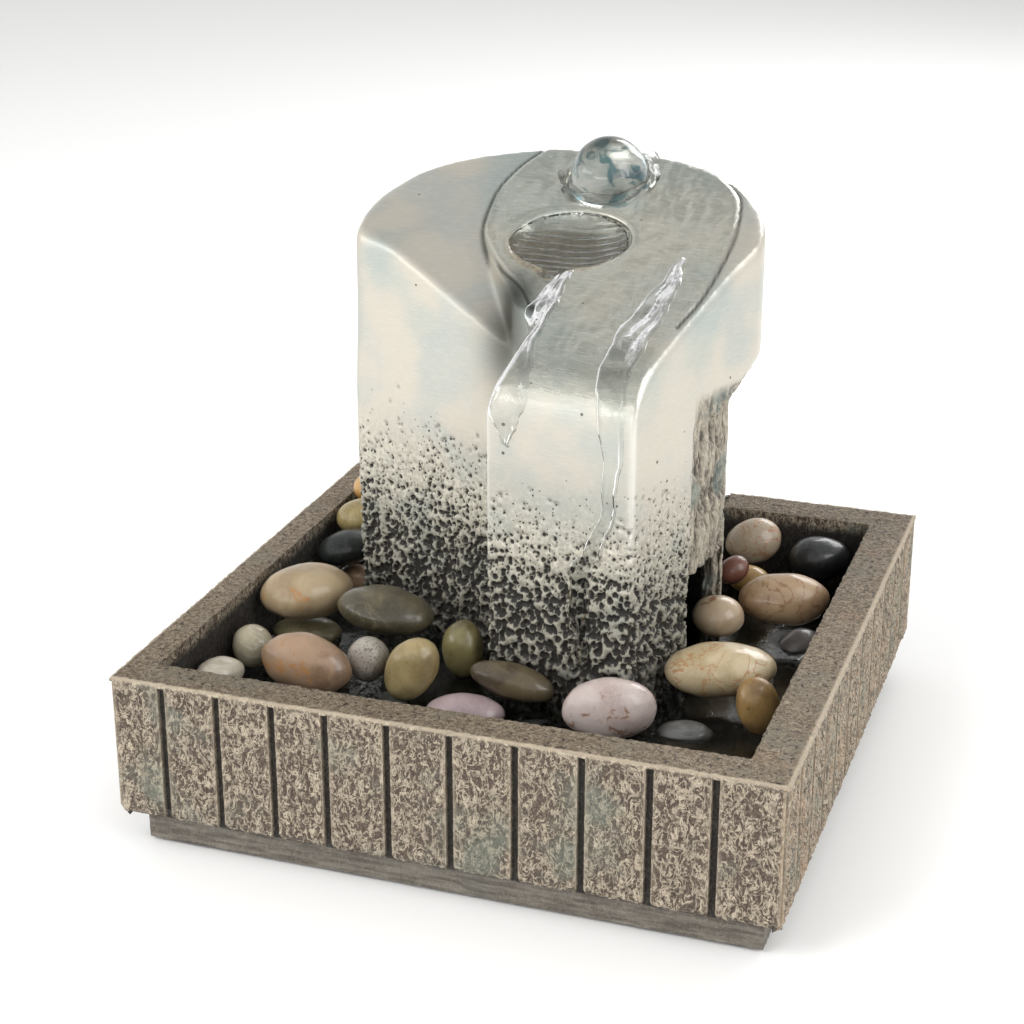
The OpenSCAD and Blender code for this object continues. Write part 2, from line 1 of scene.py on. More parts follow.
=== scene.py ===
# %% [markdown]
# # A tabletop fountain
# A square cast basin holds river pebbles and water. In its middle stands a cast
# column with a brushed metallic head, a pitted foot and a sloping tongue. Water
# rises under a glass ball, fills a small pool and runs down the tongue.
# The CAD model is loaded as a fixed frame, and every visible piece here is built
# around it and rides on one of its bodies, so that the joints still work.

import math

import bpy
import numpy as np
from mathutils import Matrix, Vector
from mathutils.bvhtree import BVHTree


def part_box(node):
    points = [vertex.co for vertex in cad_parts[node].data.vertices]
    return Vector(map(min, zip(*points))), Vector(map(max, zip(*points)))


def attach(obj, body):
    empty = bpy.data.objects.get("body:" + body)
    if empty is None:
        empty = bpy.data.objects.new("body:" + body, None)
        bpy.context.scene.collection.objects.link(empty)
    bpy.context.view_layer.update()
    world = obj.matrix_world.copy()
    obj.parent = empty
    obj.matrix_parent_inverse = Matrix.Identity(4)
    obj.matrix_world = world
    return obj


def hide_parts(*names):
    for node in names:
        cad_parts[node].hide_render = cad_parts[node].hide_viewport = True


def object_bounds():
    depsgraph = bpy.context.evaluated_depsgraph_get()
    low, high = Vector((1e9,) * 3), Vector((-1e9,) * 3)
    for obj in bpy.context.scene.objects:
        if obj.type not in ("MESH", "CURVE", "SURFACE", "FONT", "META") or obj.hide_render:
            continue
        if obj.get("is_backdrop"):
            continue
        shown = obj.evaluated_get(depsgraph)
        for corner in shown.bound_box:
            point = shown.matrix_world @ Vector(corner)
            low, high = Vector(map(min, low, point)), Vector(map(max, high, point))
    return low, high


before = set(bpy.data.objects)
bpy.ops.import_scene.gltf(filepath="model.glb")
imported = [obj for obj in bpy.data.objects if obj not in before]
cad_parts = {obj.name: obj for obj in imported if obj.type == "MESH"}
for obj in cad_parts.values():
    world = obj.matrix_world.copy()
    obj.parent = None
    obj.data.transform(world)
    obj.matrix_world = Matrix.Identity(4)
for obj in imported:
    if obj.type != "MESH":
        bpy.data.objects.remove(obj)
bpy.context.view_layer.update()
MM = 0.001
scene = bpy.context.scene
scene.view_settings.view_transform = "Standard"

# %% [markdown]
# ## Node trees as expressions
# Shaders and Geometry Nodes share most of their maths nodes. One small class wraps
# an output socket and overloads the operators, so that a pattern is written as a
# Python expression. The same function can then carve a pit in the mesh and paint
# shade into it in the material, and the two always line up.

# %% A wire and a graph
class Wire:
    """An output socket that can be used in arithmetic."""

    def __init__(self, graph, socket):
        self.graph, self.socket = graph, socket

    def math(self, operation, *others, flip=False):
        values = [self, *others]
        if flip:
            values.reverse()
        return self.graph.node("ShaderNodeMath", {"operation": operation},
                               dict(enumerate(values)))

    def __add__(self, other): return self.math("ADD", other)
    def __radd__(self, other): return self.math("ADD", other)
    def __sub__(self, other): return self.math("SUBTRACT", other)
    def __rsub__(self, other): return self.math("SUBTRACT", other, flip=True)
    def __mul__(self, other): return self.math("MULTIPLY", other)
    def __rmul__(self, other): return self.math("MULTIPLY", other)
    def __truediv__(self, other): return self.math("DIVIDE", other)
    def __pow__(self, other): return self.math("POWER", other)
    def above(self, other): return self.math("GREATER_THAN", other)
    def larger(self, other): return self.math("MAXIMUM", other)
    def smaller(self, other): return self.math("MINIMUM", other)
    def size(self): return self.math("ABSOLUTE")

    def fit(self, low, high, to_low=0.0, to_high=1.0, smooth=True):
        """Maps low..high to to_low..to_high, clamped at both ends."""
        return self.graph.node(
            "ShaderNodeMapRange",
            {"interpolation_type": "SMOOTHSTEP" if smooth else "LINEAR"},
            {"Value": self, "From Min": low, "From Max": high,
             "To Min": to_low, "To Max": to_high})


class Graph:
    """A node tree, built by one method."""

    def __init__(self, tree):
        self.tree = tree

    def node(self, kind, settings=None, inputs=None, out=0):
        made = self.tree.nodes.new(kind)
        for key, value in (settings or {}).items():
            if key == "stops":
                ramp = made.color_ramp
                while len(ramp.elements) < len(value):
                    ramp.elements.new(0.5)
                for element, (place, colour) in zip(ramp.elements, value):
                    element.position, element.color = place, (*colour, 1)
            else:
                setattr(made, key, value)
        for key, value in (inputs or {}).items():
            socket = made.inputs[key]
            if isinstance(value, Wire):
                self.tree.links.new(value.socket, socket)
            elif value is not None:
                socket.default_value = value
        self.last = made
        return Wire(self, made.outputs[out])

    def stretch(self, vector, scale):
        """A vector multiplied by a triple, one factor for each axis."""
        return self.node("ShaderNodeVectorMath", {"operation": "MULTIPLY"},
                         {0: vector, 1: scale})

    def parts(self, vector):
        self.node("ShaderNodeSeparateXYZ", {}, {0: vector})
        return [Wire(self, socket) for socket in self.last.outputs]

    def noise(self, vector, scale=1.0, detail=3.0, roughness=0.55, distortion=0.0):
        return self.node("ShaderNodeTexNoise", {"noise_dimensions": "3D"},
                         {"Vector": vector, "Scale": scale, "Detail": detail,
                          "Roughness": roughness, "Distortion": distortion})

    def cells(self, vector, scale=1.0, feature="F1"):
        """Distance to the nearest cell's point, and that cell's random number."""
        distance = self.node("ShaderNodeTexVoronoi", {"feature": feature},
                             {"Vector": vector, "Scale": scale})
        return distance, self.parts(Wire(self, self.last.outputs["Color"]))[0]

    def blend(self, factor, a, b):
        """Mixes two colours, each a triple or a wire."""
        a, b = [(*c, 1) if isinstance(c, tuple) else c for c in (a, b)]
        made = self.tree.nodes.new("ShaderNodeMix")
        made.data_type = "RGBA"
        colours = [s for s in made.inputs if s.type == "RGBA"]
        pairs = [(made.inputs[0], factor), (colours[0], a), (colours[1], b)]
        for socket, value in pairs:
            if isinstance(value, Wire):
                self.tree.links.new(value.socket, socket)
            else:
                socket.default_value = value
        return Wire(self, next(s for s in made.outputs if s.type == "RGBA"))


class Finish(Graph):
    """A material with one Principled shader."""

    def __init__(self, name, **constants):
        self.material = bpy.data.materials.new(name)
        self.material.use_nodes = True
        super().__init__(self.material.node_tree)
        self.shader = self.tree.nodes["Principled BSDF"]
        for key, value in constants.items():
            self.shader.inputs[key.replace("_", " ")].default_value = value

    def here(self):
        """Object coordinates in millimetres."""
        self.node("ShaderNodeTexCoord")
        return self.stretch(Wire(self, self.last.outputs["Object"]), (1000, 1000, 1000))

    def stored(self, name, vector=False):
        self.node("ShaderNodeAttribute", {"attribute_name": name})
        return Wire(self, self.last.outputs["Vector" if vector else "Fac"])

    def put(self, **wires):
        for key, wire in wires.items():
            self.tree.links.new(wire.socket, self.shader.inputs[key.replace("_", " ")])

    def bump(self, height, distance_mm, strength=1.0):
        normal = self.node("ShaderNodeBump", {}, {"Strength": strength,
                           "Distance": distance_mm * MM, "Height": height})
        self.put(Normal=normal)


def grey(value):
    return (value, value, value)


# %% [markdown]
# ## Camera, light and floor
# The camera stands to the right and above, with a long lens, as for a catalogue
# picture. Polished metal shows whatever it reflects, so the light comes from a few
# large soft panels in a pale room whose ceiling is darker than its walls: upright
# faces then look bright, and faces that look up look grey.

# %% Camera
camera = bpy.data.objects.new("camera", bpy.data.cameras.new("camera"))
scene.collection.objects.link(camera)
scene.camera = camera
camera.data.lens = 76.5
camera.data.sensor_width = 36
camera.location = (0.2132, -0.6544, 0.3694)
AIM = Vector((-0.01443, 0.00555, 0.08657))
camera.rotation_euler = (AIM - camera.location).to_track_quat("-Z", "Y").to_euler()

# %% Soft panels, a pale world and the floor
def panel(name, place, aim, width, height, power, colour=(1, 1, 1)):
    light = bpy.data.lights.new(name, "AREA")
    light.shape, light.size, light.size_y = "RECTANGLE", width, height
    light.energy, light.color = power, colour
    lamp = bpy.data.objects.new(name, light)
    scene.collection.objects.link(lamp)
    lamp.location = place
    lamp.rotation_euler = (Vector(aim) - Vector(place)).to_track_quat("-Z", "Y").to_euler()
    return lamp


key = panel("key_panel", (-0.55, -0.75, 0.95), (0, 0, 0.1), 0.7, 0.7, 9.0)
# only the low strips draw lines on the polished edges and show through the water
key.visible_glossy = key.visible_transmission = False
panel("front_strip", (-0.20, -1.25, 0.20), (0, 0, 0.15), 1.2, 0.13, 1.7)
panel("left_strip", (-1.20, -0.70, 0.40), (0, 0, 0.15), 0.9, 0.22, 1.8)
panel("right_panel", (0.95, -0.35, 0.55), (0, 0, 0.1), 0.5, 0.8, 4.0)
panel("back_panel", (0.35, 1.1, 0.85), (0, 0, 0.1), 0.9, 0.5, 8.0)

world = bpy.data.worlds.new("pale_room")
scene.world = world
world.use_nodes = True
backdrop = world.node_tree.nodes["Background"]
backdrop.inputs["Color"].default_value = (1.0, 1.0, 1.0, 1)
room = Graph(world.node_tree)
room.node("ShaderNodeTexCoord")
upward = room.parts(Wire(room, room.last.outputs["Generated"]))[2]
facing = Wire(room, room.tree.nodes["Texture Coordinate"].outputs["Generated"])
drapes = room.noise(facing, 5.5, 2, 0.5, 0.6).fit(0.36, 0.64, -0.26, 0.34)
ceiling = upward.fit(0.15, 0.9, 0.98, 0.56) + drapes * upward.fit(0.3, 0.7)
room.tree.links.new(ceiling.socket, backdrop.inputs["Strength"])

floor_mesh = bpy.data.meshes.new("floor")
FLOOR = 6.0
floor_mesh.from_pydata([(-FLOOR, -FLOOR, 0), (FLOOR, -FLOOR, 0), (FLOOR, FLOOR, 0),
                        (-FLOOR, FLOOR, 0)], [], [(0, 1, 2, 3)])
floor = bpy.data.objects.new("floor", floor_mesh)
scene.collection.objects.link(floor)
paper = Finish("pale_paper", Roughness=0.9)
paper.shader.inputs["Base Color"].default_value = (0.93, 0.93, 0.92, 1)
floor_mesh.materials.append(paper.material)
floor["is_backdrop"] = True

# %% [markdown]
# ## Helpers for meshes
# Grids of points are worked out with NumPy and turned into faces at once. Where the
# CAD shape is right and only needs weathering, its mesh is copied, merged and made
# into even small quads by a voxel remesh, which then take fine relief well.

# %% Mesh helpers
def add_object(name, mesh):
    made = bpy.data.objects.new(name, mesh)
    scene.collection.objects.link(made)
    return made


def points_of(mesh):
    flat = np.empty(len(mesh.vertices) * 3, np.float32)
    mesh.vertices.foreach_get("co", flat)
    return flat.reshape(-1, 3).astype(float)


def set_points(mesh, points):
    mesh.vertices.foreach_set("co", points.astype(np.float32).ravel())
    mesh.update()


def normals_of(mesh):
    flat = np.empty(len(mesh.vertices) * 3, np.float32)
    mesh.vertex_normals.foreach_get("vector", flat)
    return flat.reshape(-1, 3).astype(float)


def store(mesh, name, values):
    mesh.attributes.new(name, "FLOAT", "POINT").data.foreach_set(
        "value", np.asarray(values, np.float32))


def evaluated(source, name):
    """A plain mesh of source with its modifiers applied."""
    graph = bpy.context.evaluated_depsgraph_get()
    mesh = bpy.data.meshes.new_from_object(source.evaluated_get(graph))
    mesh.name = name
    bpy.data.objects.remove(source)
    return mesh


def remeshed(node, voxel_mm, name):
    """The CAD node's shape in even quads."""
    copy = add_object(name + "_copy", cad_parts[node].data.copy())
    weld = copy.modifiers.new("weld", "WELD")
    weld.merge_threshold = 1e-6
    remesh = copy.modifiers.new("remesh", "REMESH")
    remesh.mode, remesh.voxel_size = "VOXEL", voxel_mm * MM
    return evaluated(copy, name)


def relax(mesh, weights, rounds):
    """Rounds the mesh where weights are above 0."""
    ends = np.empty(len(mesh.edges) * 2, np.int32)
    mesh.edges.foreach_get("vertices", ends)
    a, b = ends[::2], ends[1::2]
    count = np.bincount(ends, minlength=len(mesh.vertices))[:, None].clip(1)
    points = points_of(mesh)
    for _ in range(rounds):
        total = np.zeros_like(points)
        for axis in range(3):
            total[:, axis] = (np.bincount(a, points[b, axis], len(points))
                              + np.bincount(b, points[a, axis], len(points)))
        points += (total / count - points) * weights[:, None]
    set_points(mesh, points)


def grid_faces(rows, columns, closed_columns=True, start=0):
    """Quads between rows of points; rows run up, columns run along."""
    faces = []
    for i in range(rows - 1):
        for j in range(columns if closed_columns else columns - 1):
            k = (j + 1) % columns
            faces.append((start + i * columns + j, start + i * columns + k,
                          start + (i + 1) * columns + k, start + (i + 1) * columns + j))
    return faces


def smoothstep(values, low, high):
    t = np.clip((np.asarray(values, float) - low) / (high - low), 0, 1)
    return t * t * (3 - 2 * t)


# %% [markdown]
# ## Geometry Nodes helper
# A geometry tree gets named inputs for its sizes. Each modifier input is set by the
# socket's identifier, and the result is turned into a plain mesh at once.

# %% Geometry tree
class Recipe(Graph):
    """A Geometry Nodes tree with named inputs."""

    KINDS = {float: "NodeSocketFloat", int: "NodeSocketInt", bool: "NodeSocketBool"}

    def __init__(self, name, **inputs):
        super().__init__(bpy.data.node_groups.new(name, "GeometryNodeTree"))
        face = self.tree.interface
        face.new_socket("Geometry", in_out="INPUT", socket_type="NodeSocketGeometry")
        face.new_socket("Geometry", in_out="OUTPUT", socket_type="NodeSocketGeometry")
        self.values = inputs
        for key, value in inputs.items():
            kind = self.KINDS.get(type(value), "NodeSocketMaterial")
            face.new_socket(key.replace("_", " "), in_out="INPUT", socket_type=kind)
        self.entry = self.tree.nodes.new("NodeGroupInput")

    def given(self, name):
        return Wire(self, self.entry.outputs[name.replace("_", " ")])

    def position(self):
        return self.node("GeometryNodeInputPosition")

    def attribute(self, name, kind="FLOAT"):
        return self.node("GeometryNodeInputNamedAttribute", {"data_type": kind}, {"Name": name})

    def keep(self, geometry, name, value, kind="FLOAT"):
        return self.node("GeometryNodeStoreNamedAttribute", {"data_type": kind,
                         "domain": "POINT"}, {"Geometry": geometry, "Name": name, "Value": value})

    def push(self, geometry, millimetres):
        """Moves every point along its normal."""
        self.node("ShaderNodeVectorMath", {"operation": "SCALE"},
                  {0: self.node("GeometryNodeInputNormal"), "Scale": millimetres * MM})
        return self.node("GeometryNodeSetPosition", {}, {"Geometry": geometry,
                         "Offset": Wire(self, self.last.outputs[0])})

    def finish(self, geometry):
        real = self.node("GeometryNodeRealizeInstances", {}, {"Geometry": geometry})
        smooth = self.node("GeometryNodeSetShadeSmooth", {}, {"Geometry": real,
                           "Shade Smooth": True})
        done = self.node("GeometryNodeSetMaterial", {}, {"Geometry": smooth,
                         "Material": self.given("Material")})
        exit_node = self.tree.nodes.new("NodeGroupOutput")
        self.tree.links.new(done.socket, exit_node.inputs[0])

    def run(self, mesh, name):
        """Applies the tree to a mesh and returns the plain result as an object."""
        source = add_object(name + "_source", mesh)
        modifier = source.modifiers.new("recipe", "NODES")
        modifier.node_group = self.tree
        for item in self.tree.interface.items_tree:
            key = item.name.replace(" ", "_")
            if item.in_out == "INPUT" and key in self.values:
                modifier[item.identifier] = self.values[key]
        made = evaluated(source, name)
        print(name, len(made.vertices), "points", len(made.polygons), "faces")
        return add_object(name, made)


# %% [markdown]
# ## The basin's worn surface
# The basin is cast resin, painted to look like old wood: cream ridges stand over
# dark brown hollows, with grey-green and rust patches. One function gives the
# ridges from a position in millimetres. Geometry Nodes carve it, and the material
# reads the position from before the carving, so paint and relief agree.

# %% Worn resin: shared pattern and material
def worn_ridges(graph, mm):
    """1 on a ridge, 0 in a hollow."""
    veins = graph.noise(graph.stretch(mm, (0.30, 0.30, 0.17)), 1.0, 4, 0.68, 0.9)
    lines = (veins - 0.5).size().fit(0.008, 0.042, 1.0, 0.0)
    lumps = graph.noise(graph.stretch(mm, (0.75, 0.75, 0.55)), 1.0, 3, 0.62, 0.5).fit(0.50, 0.64)
    return lines.larger(lumps * 0.65)


def worn_resin(name, cream, brown, patch_green, patch_rust):
    look = Finish(name, Roughness=0.6)
    mm = look.stored("rest", vector=True)
    x, y, z = look.parts(mm)
    ridge = worn_ridges(look, mm)
    fine = look.noise(mm, 1.1, 4, 0.65)
    height = look.stored("edge")
    paint = ridge * 0.8 + fine.fit(0.35, 0.65) * 0.3
    base = look.blend(paint.fit(0.12, 0.95, smooth=False), brown, cream)
    greens = look.noise(mm, 0.035, 3, 0.6).fit(0.5, 0.68)
    base = look.blend(greens * 0.55, base, patch_green)
    rust = look.noise(look.stretch(mm, (0.05, 0.05, 0.02)), 1.0, 3, 0.6).fit(0.56, 0.7)
    base = look.blend(rust * 0.3 * x.fit(60, 108), base, patch_rust)
    side = x.fit(107.5, 108.5)
    streaks = look.noise(look.stretch(mm, (0.3, 0.7, 0.05)), 1.0, 3, 0.6)
    base = look.blend(side * streaks.fit(0.46, 0.62) * 0.6, base, (0.46, 0.33, 0.21))
    base = look.blend(side * streaks.fit(0.36, 0.46, 1.0, 0.0) * 0.4, base, patch_green)
    top = z.fit(61.0, 61.5)
    base = look.blend(top * 0.55, base, (0.17, 0.125, 0.075))
    specks = look.noise(mm, 0.55, 3, 0.7).fit(0.55, 0.64)
    base = look.blend(specks * (0.45 + top * 0.5), base, tuple(c * 0.35 for c in brown))
    plinth = z.fit(11.4, 12.2, 1.0, 0.0)
    bands = look.noise(look.stretch(mm, (0.06, 0.06, 0.6)), 1.0, 4, 0.65)
    base = look.blend(plinth * 0.85, base, look.blend(bands.fit(0.35, 0.65), (0.10, 0.085, 0.07),
                                                      (0.25, 0.225, 0.19)))
    base = look.blend(height * 0.6, base, tuple(min(1, c * 1.25) for c in cream))
    # painted shade: the well's inner wall, the recess behind the slats, the slats' backs and sides and
    # the underside go nearly black
    dark = look.stored("dark")
    base = look.blend(dark, base, (0.012, 0.010, 0.009))
    look.put(Base_Color=base, Roughness=0.72 - ridge * 0.2)
    look.bump(ridge * 0.5 + fine, 0.5, 0.8)
    return look.material


# %% [markdown]
# ## Basin body
# The body is one closed grid: a ring of points around the outline for each step of
# the profile, from the well's floor up the inner wall, over the rim and down the
# outside to the plinth. The slats are added over its recessed sides afterwards.

# %% Basin body
OUTER = 110.0
RECESS = 2.0
WELL = ((-99.0, -96.0), (95.0, 95.0))
RIM_Z, FLOOR_Z, SKIRT_Z, PLINTH_Z = 62.0, 22.0, 12.0, 1.0
PLINTH_IN, RING_IN, UNDER_Z = 7.0, 23.0, 16.0
PER_SIDE = 170


def square_path(low, high, per_side):
    corners = [(low[0], low[1]), (high[0], low[1]), (high[0], high[1]), (low[0], high[1])]
    path = []
    for here, there in zip(corners, corners[1:] + corners[:1]):
        for k in range(per_side):
            t = k / per_side
            path.append((here[0] + (there[0] - here[0]) * t, here[1] + (there[1] - here[1]) * t))
    return np.array(path)


inner_path = square_path(*WELL, PER_SIDE)
outer_path = square_path((-OUTER, -OUTER), (OUTER, OUTER), PER_SIDE)


def inset(distance):
    return outer_path * (OUTER - distance) / OUTER


stations = []            # (ring of points, height, relief depth, how much painted shade, how edge-worn)
# painted shade: the well's inner wall goes near black from a few millimetres below the rim down, and so
# do the recess behind the slats and the underside
for z in np.linspace(FLOOR_Z, RIM_Z - 1.2, 26):
    stations.append((inner_path, z, 0.5, float(smoothstep(RIM_Z - z, 2, 6)) * 0.93, 0))
for part, drop in ((0.0, 0.35), (0.05, 0.05), *[(t, 0.0) for t in np.linspace(0.12, 0.9, 13)],
                   (0.96, 0.0), (1.0, 0.25)):
    ring = inner_path + (inset(0.15) - inner_path) * part
    stations.append((ring, RIM_Z - drop, 0.35, 0, 1.0 if part > 0.95 else 0))
stations += [(outer_path, RIM_Z - 0.9, 0.15, 0, 0.7), (outer_path, RIM_Z - 1.6, 0.1, 0, 0)]
for z in np.linspace(RIM_Z - 1.9, SKIRT_Z + 1, 12):
    stations.append((inset(RECESS), z, 0.1, 0.9, 0))
stations += [(inset(RECESS + 1), SKIRT_Z, 0.1, 0.8, 0), (inset(PLINTH_IN), SKIRT_Z, 0.1, 0.6, 0)]
for z in np.linspace(SKIRT_Z - 1, PLINTH_Z + 0.4, 9):
    stations.append((inset(PLINTH_IN), z, 0.15, 0.05, 0))
stations += [(inset(PLINTH_IN + 0.5), PLINTH_Z, 0.1, 0.3, 0),
             (inset(RING_IN), PLINTH_Z, 0.1, 0.5, 0), (inset(RING_IN), UNDER_Z, 0, 0.6, 0)]

ring_size = 4 * PER_SIDE
basin_points = np.concatenate([np.column_stack([ring, np.full(ring_size, z)])
                               for ring, z, *_ in stations])
basin_faces = grid_faces(len(stations), ring_size)
last_ring = (len(stations) - 1) * ring_size
basin_faces += [tuple(reversed(range(ring_size))), tuple(range(last_ring, last_ring + ring_size))]
basin_faces = [tuple(reversed(face)) for face in basin_faces]
basin_mesh = bpy.data.meshes.new("basin_grid")
basin_mesh.from_pydata((basin_points * MM).tolist(), [], basin_faces)
for k, name in ((2, "depth"), (3, "dark"), (4, "edge")):
    store(basin_mesh, name, np.repeat([s[k] for s in stations], ring_size))
# the cord's notch: the back rim dips where the lead passes over it
notch = (np.abs(basin_points[:, 0] - 34) < 4.4) & (basin_points[:, 1] > 94.9) & (
    basin_points[:, 2] > 53)
basin_points[notch, 2] = 53 + (basin_points[notch, 2] - 53) * 0.02
set_points(basin_mesh, basin_points * MM)

RESIN = worn_resin("worn_resin", (0.52, 0.44, 0.33), (0.070, 0.048, 0.035),
                   (0.17, 0.20, 0.16), (0.42, 0.22, 0.11))

carve = Recipe("Weathered casting", Material=RESIN)
body_geometry = carve.keep(carve.given("Geometry"), "rest",
                           carve.stretch(carve.position(), (1000, 1000, 1000)), "FLOAT_VECTOR")
ridges = worn_ridges(carve, carve.stretch(carve.position(), (1000, 1000, 1000)))
carve.finish(carve.push(body_geometry, (ridges - 1) * carve.attribute("depth")))
basin_body = carve.run(basin_mesh, "basin_body")
basin_body.data.set_sharp_from_angle(angle=math.radians(50))

# %% [markdown]
# ## Slats
# Eleven slats of slightly different widths cover each side. They repeat, so they
# are instances: a single point marks each slat's middle and carries its width and
# its turn, and Geometry Nodes put a finely divided board there. After the instances
# are made real, the front of each board is carved and its edges are worn away.

# %% Slats by Geometry Nodes
SLAT_WIDTHS = [18, 19, 19, 18, 20.5, 20.5, 21, 21, 21, 20, 22]
SLAT_TOP = 60.9

places, widths, turns = [], [], []
for side in range(4):
    turn = side * math.pi / 2
    along = -OUTER
    for width in SLAT_WIDTHS:
        middle = along + width / 2
        x, y = middle, -OUTER + 1.75
        places.append((x * math.cos(turn) - y * math.sin(turn),
                       x * math.sin(turn) + y * math.cos(turn), (SLAT_TOP + SKIRT_Z) / 2))
        widths.append(width)
        turns.append(turn)
        along += width
slat_marks = bpy.data.meshes.new("slat_marks")
slat_marks.from_pydata((np.array(places) * MM).tolist(), [], [])
store(slat_marks, "width", widths)
store(slat_marks, "turn", turns)

slats = Recipe("Slatted skirt", Gap=1.9, Height=SLAT_TOP - SKIRT_Z, Thickness=3.5,
               Relief=0.75, Wear=0.9, Chamfer=3.0, Material=RESIN)
board = slats.node("GeometryNodeMeshCube", {}, {"Size": (1, 1, 1), "Vertices X": 22,
                   "Vertices Y": 2, "Vertices Z": 44})
board = slats.keep(board, "local", slats.position(), "FLOAT_VECTOR")
scale = slats.node("ShaderNodeCombineXYZ", {}, {
    0: (slats.attribute("width") - slats.given("Gap")) * MM,
    1: slats.given("Thickness") * MM, 2: slats.given("Height") * MM})
rotation = slats.node("ShaderNodeCombineXYZ", {}, {2: slats.attribute("turn")})
boards = slats.node("GeometryNodeInstanceOnPoints", {}, {
    "Points": slats.given("Geometry"), "Instance": board, "Scale": scale,
    "Rotation": rotation})
boards = slats.node("GeometryNodeRealizeInstances", {}, {"Geometry": boards})
rest_mm = slats.stretch(slats.position(), (1000, 1000, 1000))
boards = slats.keep(boards, "rest", rest_mm, "FLOAT_VECTOR")
lx, ly, lz = slats.parts(slats.attribute("local", "FLOAT_VECTOR"))
front = (0 - ly).above(0.4)
side_gap = (0.5 - lx.size()) * 19
end_gap = (0.5 - lz.size()) * slats.given("Height")
border = side_gap.smaller(end_gap)
worn_edge = border.fit(0.0, 1.6, 1.0, 0.0)
foot_cut = ((lz + 0.5) * slats.given("Height")).fit(0.0, 3.2, 1.0, 0.0, smooth=False)
face = border.fit(0.0, 1.3, 0.1, 1.0)
carving = front * ((1 - worn_ridges(slats, rest_mm)) * slats.given("Relief") * face
                   + worn_edge * slats.given("Wear") * 0.4 + foot_cut * slats.given("Chamfer") * 0.6)
boards = slats.keep(boards, "edge", worn_edge * front * 0.55)
# painted shade on the backs and sides of the boards, in the gaps between them
boards = slats.keep(boards, "dark", (1 - front) * 0.93)
slats.finish(slats.push(boards, carving * -1))
slat_skirt = slats.run(slat_marks, "slat_skirt")
slat_skirt.data.set_sharp_from_angle(angle=math.radians(60))

for piece in (basin_body, slat_skirt):
    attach(piece, "base")
    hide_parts("basin")

# %% [markdown]
# ## Column: the carved pattern
# The foot looks like lava: round pits that are few and small at the top, and crowd
# together lower down until only thin cream ridges are left between them. The right
# side and the back have a grain of upright grooves. Cells from a Voronoi pattern
# give the pits, and noise stretched upwards gives the grain.

# %% Pits and grain
def pits(graph, mm, lean=0.0):
    """0 on the surface to 1 in a pit. Pits crowd towards the foot."""
    x, y, z = graph.parts(mm)
    drift = graph.noise(mm, 0.05, 2, 0.5) * 40 - 20
    down = (z + drift * 0.7 + x * 0.02).fit(66, 114, 1.0, 0.0, smooth=False)
    warped = graph.node("ShaderNodeVectorMath", {"operation": "ADD"}, {
        0: graph.stretch(mm, (0.50, 0.50, 0.42)),
        1: graph.stretch(graph.node("ShaderNodeTexNoise", {}, {"Vector": mm, "Scale": 0.3,
                         "Detail": 1.0}, out=1), (0.5, 0.5, 0.5))})
    distance, luck = graph.cells(warped)
    radius = (down * 1.7 - luck).fit(0.0, 0.4) * (down * 0.42 + 0.24)
    large = ((radius - distance) / 0.14).fit(0, 1)
    distance, luck = graph.cells(graph.stretch(mm, (0.85, 0.85, 0.7)))
    early = (z + drift).fit(84, 128, 1.0, 0.0, smooth=False)
    radius = (early * 1.25 - luck).fit(0.0, 0.5) * 0.36
    small = ((radius - distance) / 0.12).fit(0, 1)
    return large.larger(small * 0.85)


def grain(graph, mm):
    """Upright grooves of the rough core: 0 in a groove, 1 on a ridge."""
    coarse = graph.noise(graph.stretch(mm, (0.42, 0.42, 0.075)), 1.0, 3.5, 0.62, 0.35)
    return coarse.fit(0.38, 0.62)


# %% [markdown]
# ## Column: the head
# The CAD column already has the right faces, the pool's bowl and the hollow. Its
# remeshed copy is rounded like wax on the head and a little everywhere else. The
# inner hollow is thinned, since little of it shows, to save points for the skin.

# %% Column skin
CREST = 202.0
FOOT_PLAN = np.array([(-78, 19.7), (-10, -5.4), (-11, -31), (40.66, -36.98), (51.66, -6.98),
                      (56, 24), (45, 50), (20, 62), (-5, 64), (-40, 58), (-65, 45), (-78, 24)])
column_mesh = remeshed("column", 0.86, "column_skin")
points = points_of(column_mesh) * 1000


def inside_depth(plan, xy):
    """Distance inside a closed outline, negative outside."""
    nearest = np.full(len(xy), 1e9)
    crossing = np.zeros(len(xy), bool)
    for a, b in zip(plan, np.roll(plan, -1, axis=0)):
        edge = b - a
        t = np.clip(((xy - a) @ edge) / (edge @ edge), 0, 1)
        nearest = np.minimum(nearest, np.linalg.norm(xy - a - t[:, None] * edge, axis=1))
        straddles = (a[1] > xy[:, 1]) != (b[1] > xy[:, 1])
        with np.errstate(divide="ignore", invalid="ignore"):
            cut = a[0] + (xy[:, 1] - a[1]) / (b[1] - a[1]) * edge[0]
        crossing ^= straddles & (xy[:, 0] < cut)
    return np.where(crossing, nearest, -nearest)


depth_in = inside_depth(FOOT_PLAN, points[:, :2])
x, y, z = points.T
in_foot = (depth_in > 4.5) & (z < 118.6) & ~((x > 44) & (y > -6) & (y < 32) & (z < 76))
in_upper = (x > -26.6) & (x < 36.6) & (y > 7.4) & (y < 52.6) & (z > 117) & (z < 150.6)
around_plug = (x > -1.6) & (x < 12.6) & (y > 7.4) & (y < 57.1) & (z > 117) & (z < 150.6)
hollow = in_foot | in_upper | around_plug
bore = np.hypot(x - 5.5, y - 50) < 7
bore &= z < 186
top_soft = smoothstep(z, 140, 156) * ~hollow * ~bore
relax(column_mesh, 0.5 * (1.0 - 0.9 * bore) * (1.0 - 0.9 * hollow), 7)
relax(column_mesh, 0.5 * top_soft, 26)
corner_soft = smoothstep(-x, 62, 74) * smoothstep(z, 120, 150) * ~hollow
relax(column_mesh, 0.5 * corner_soft, 60)
print("column skin", len(column_mesh.vertices), "points, hollow", int(hollow.sum()))
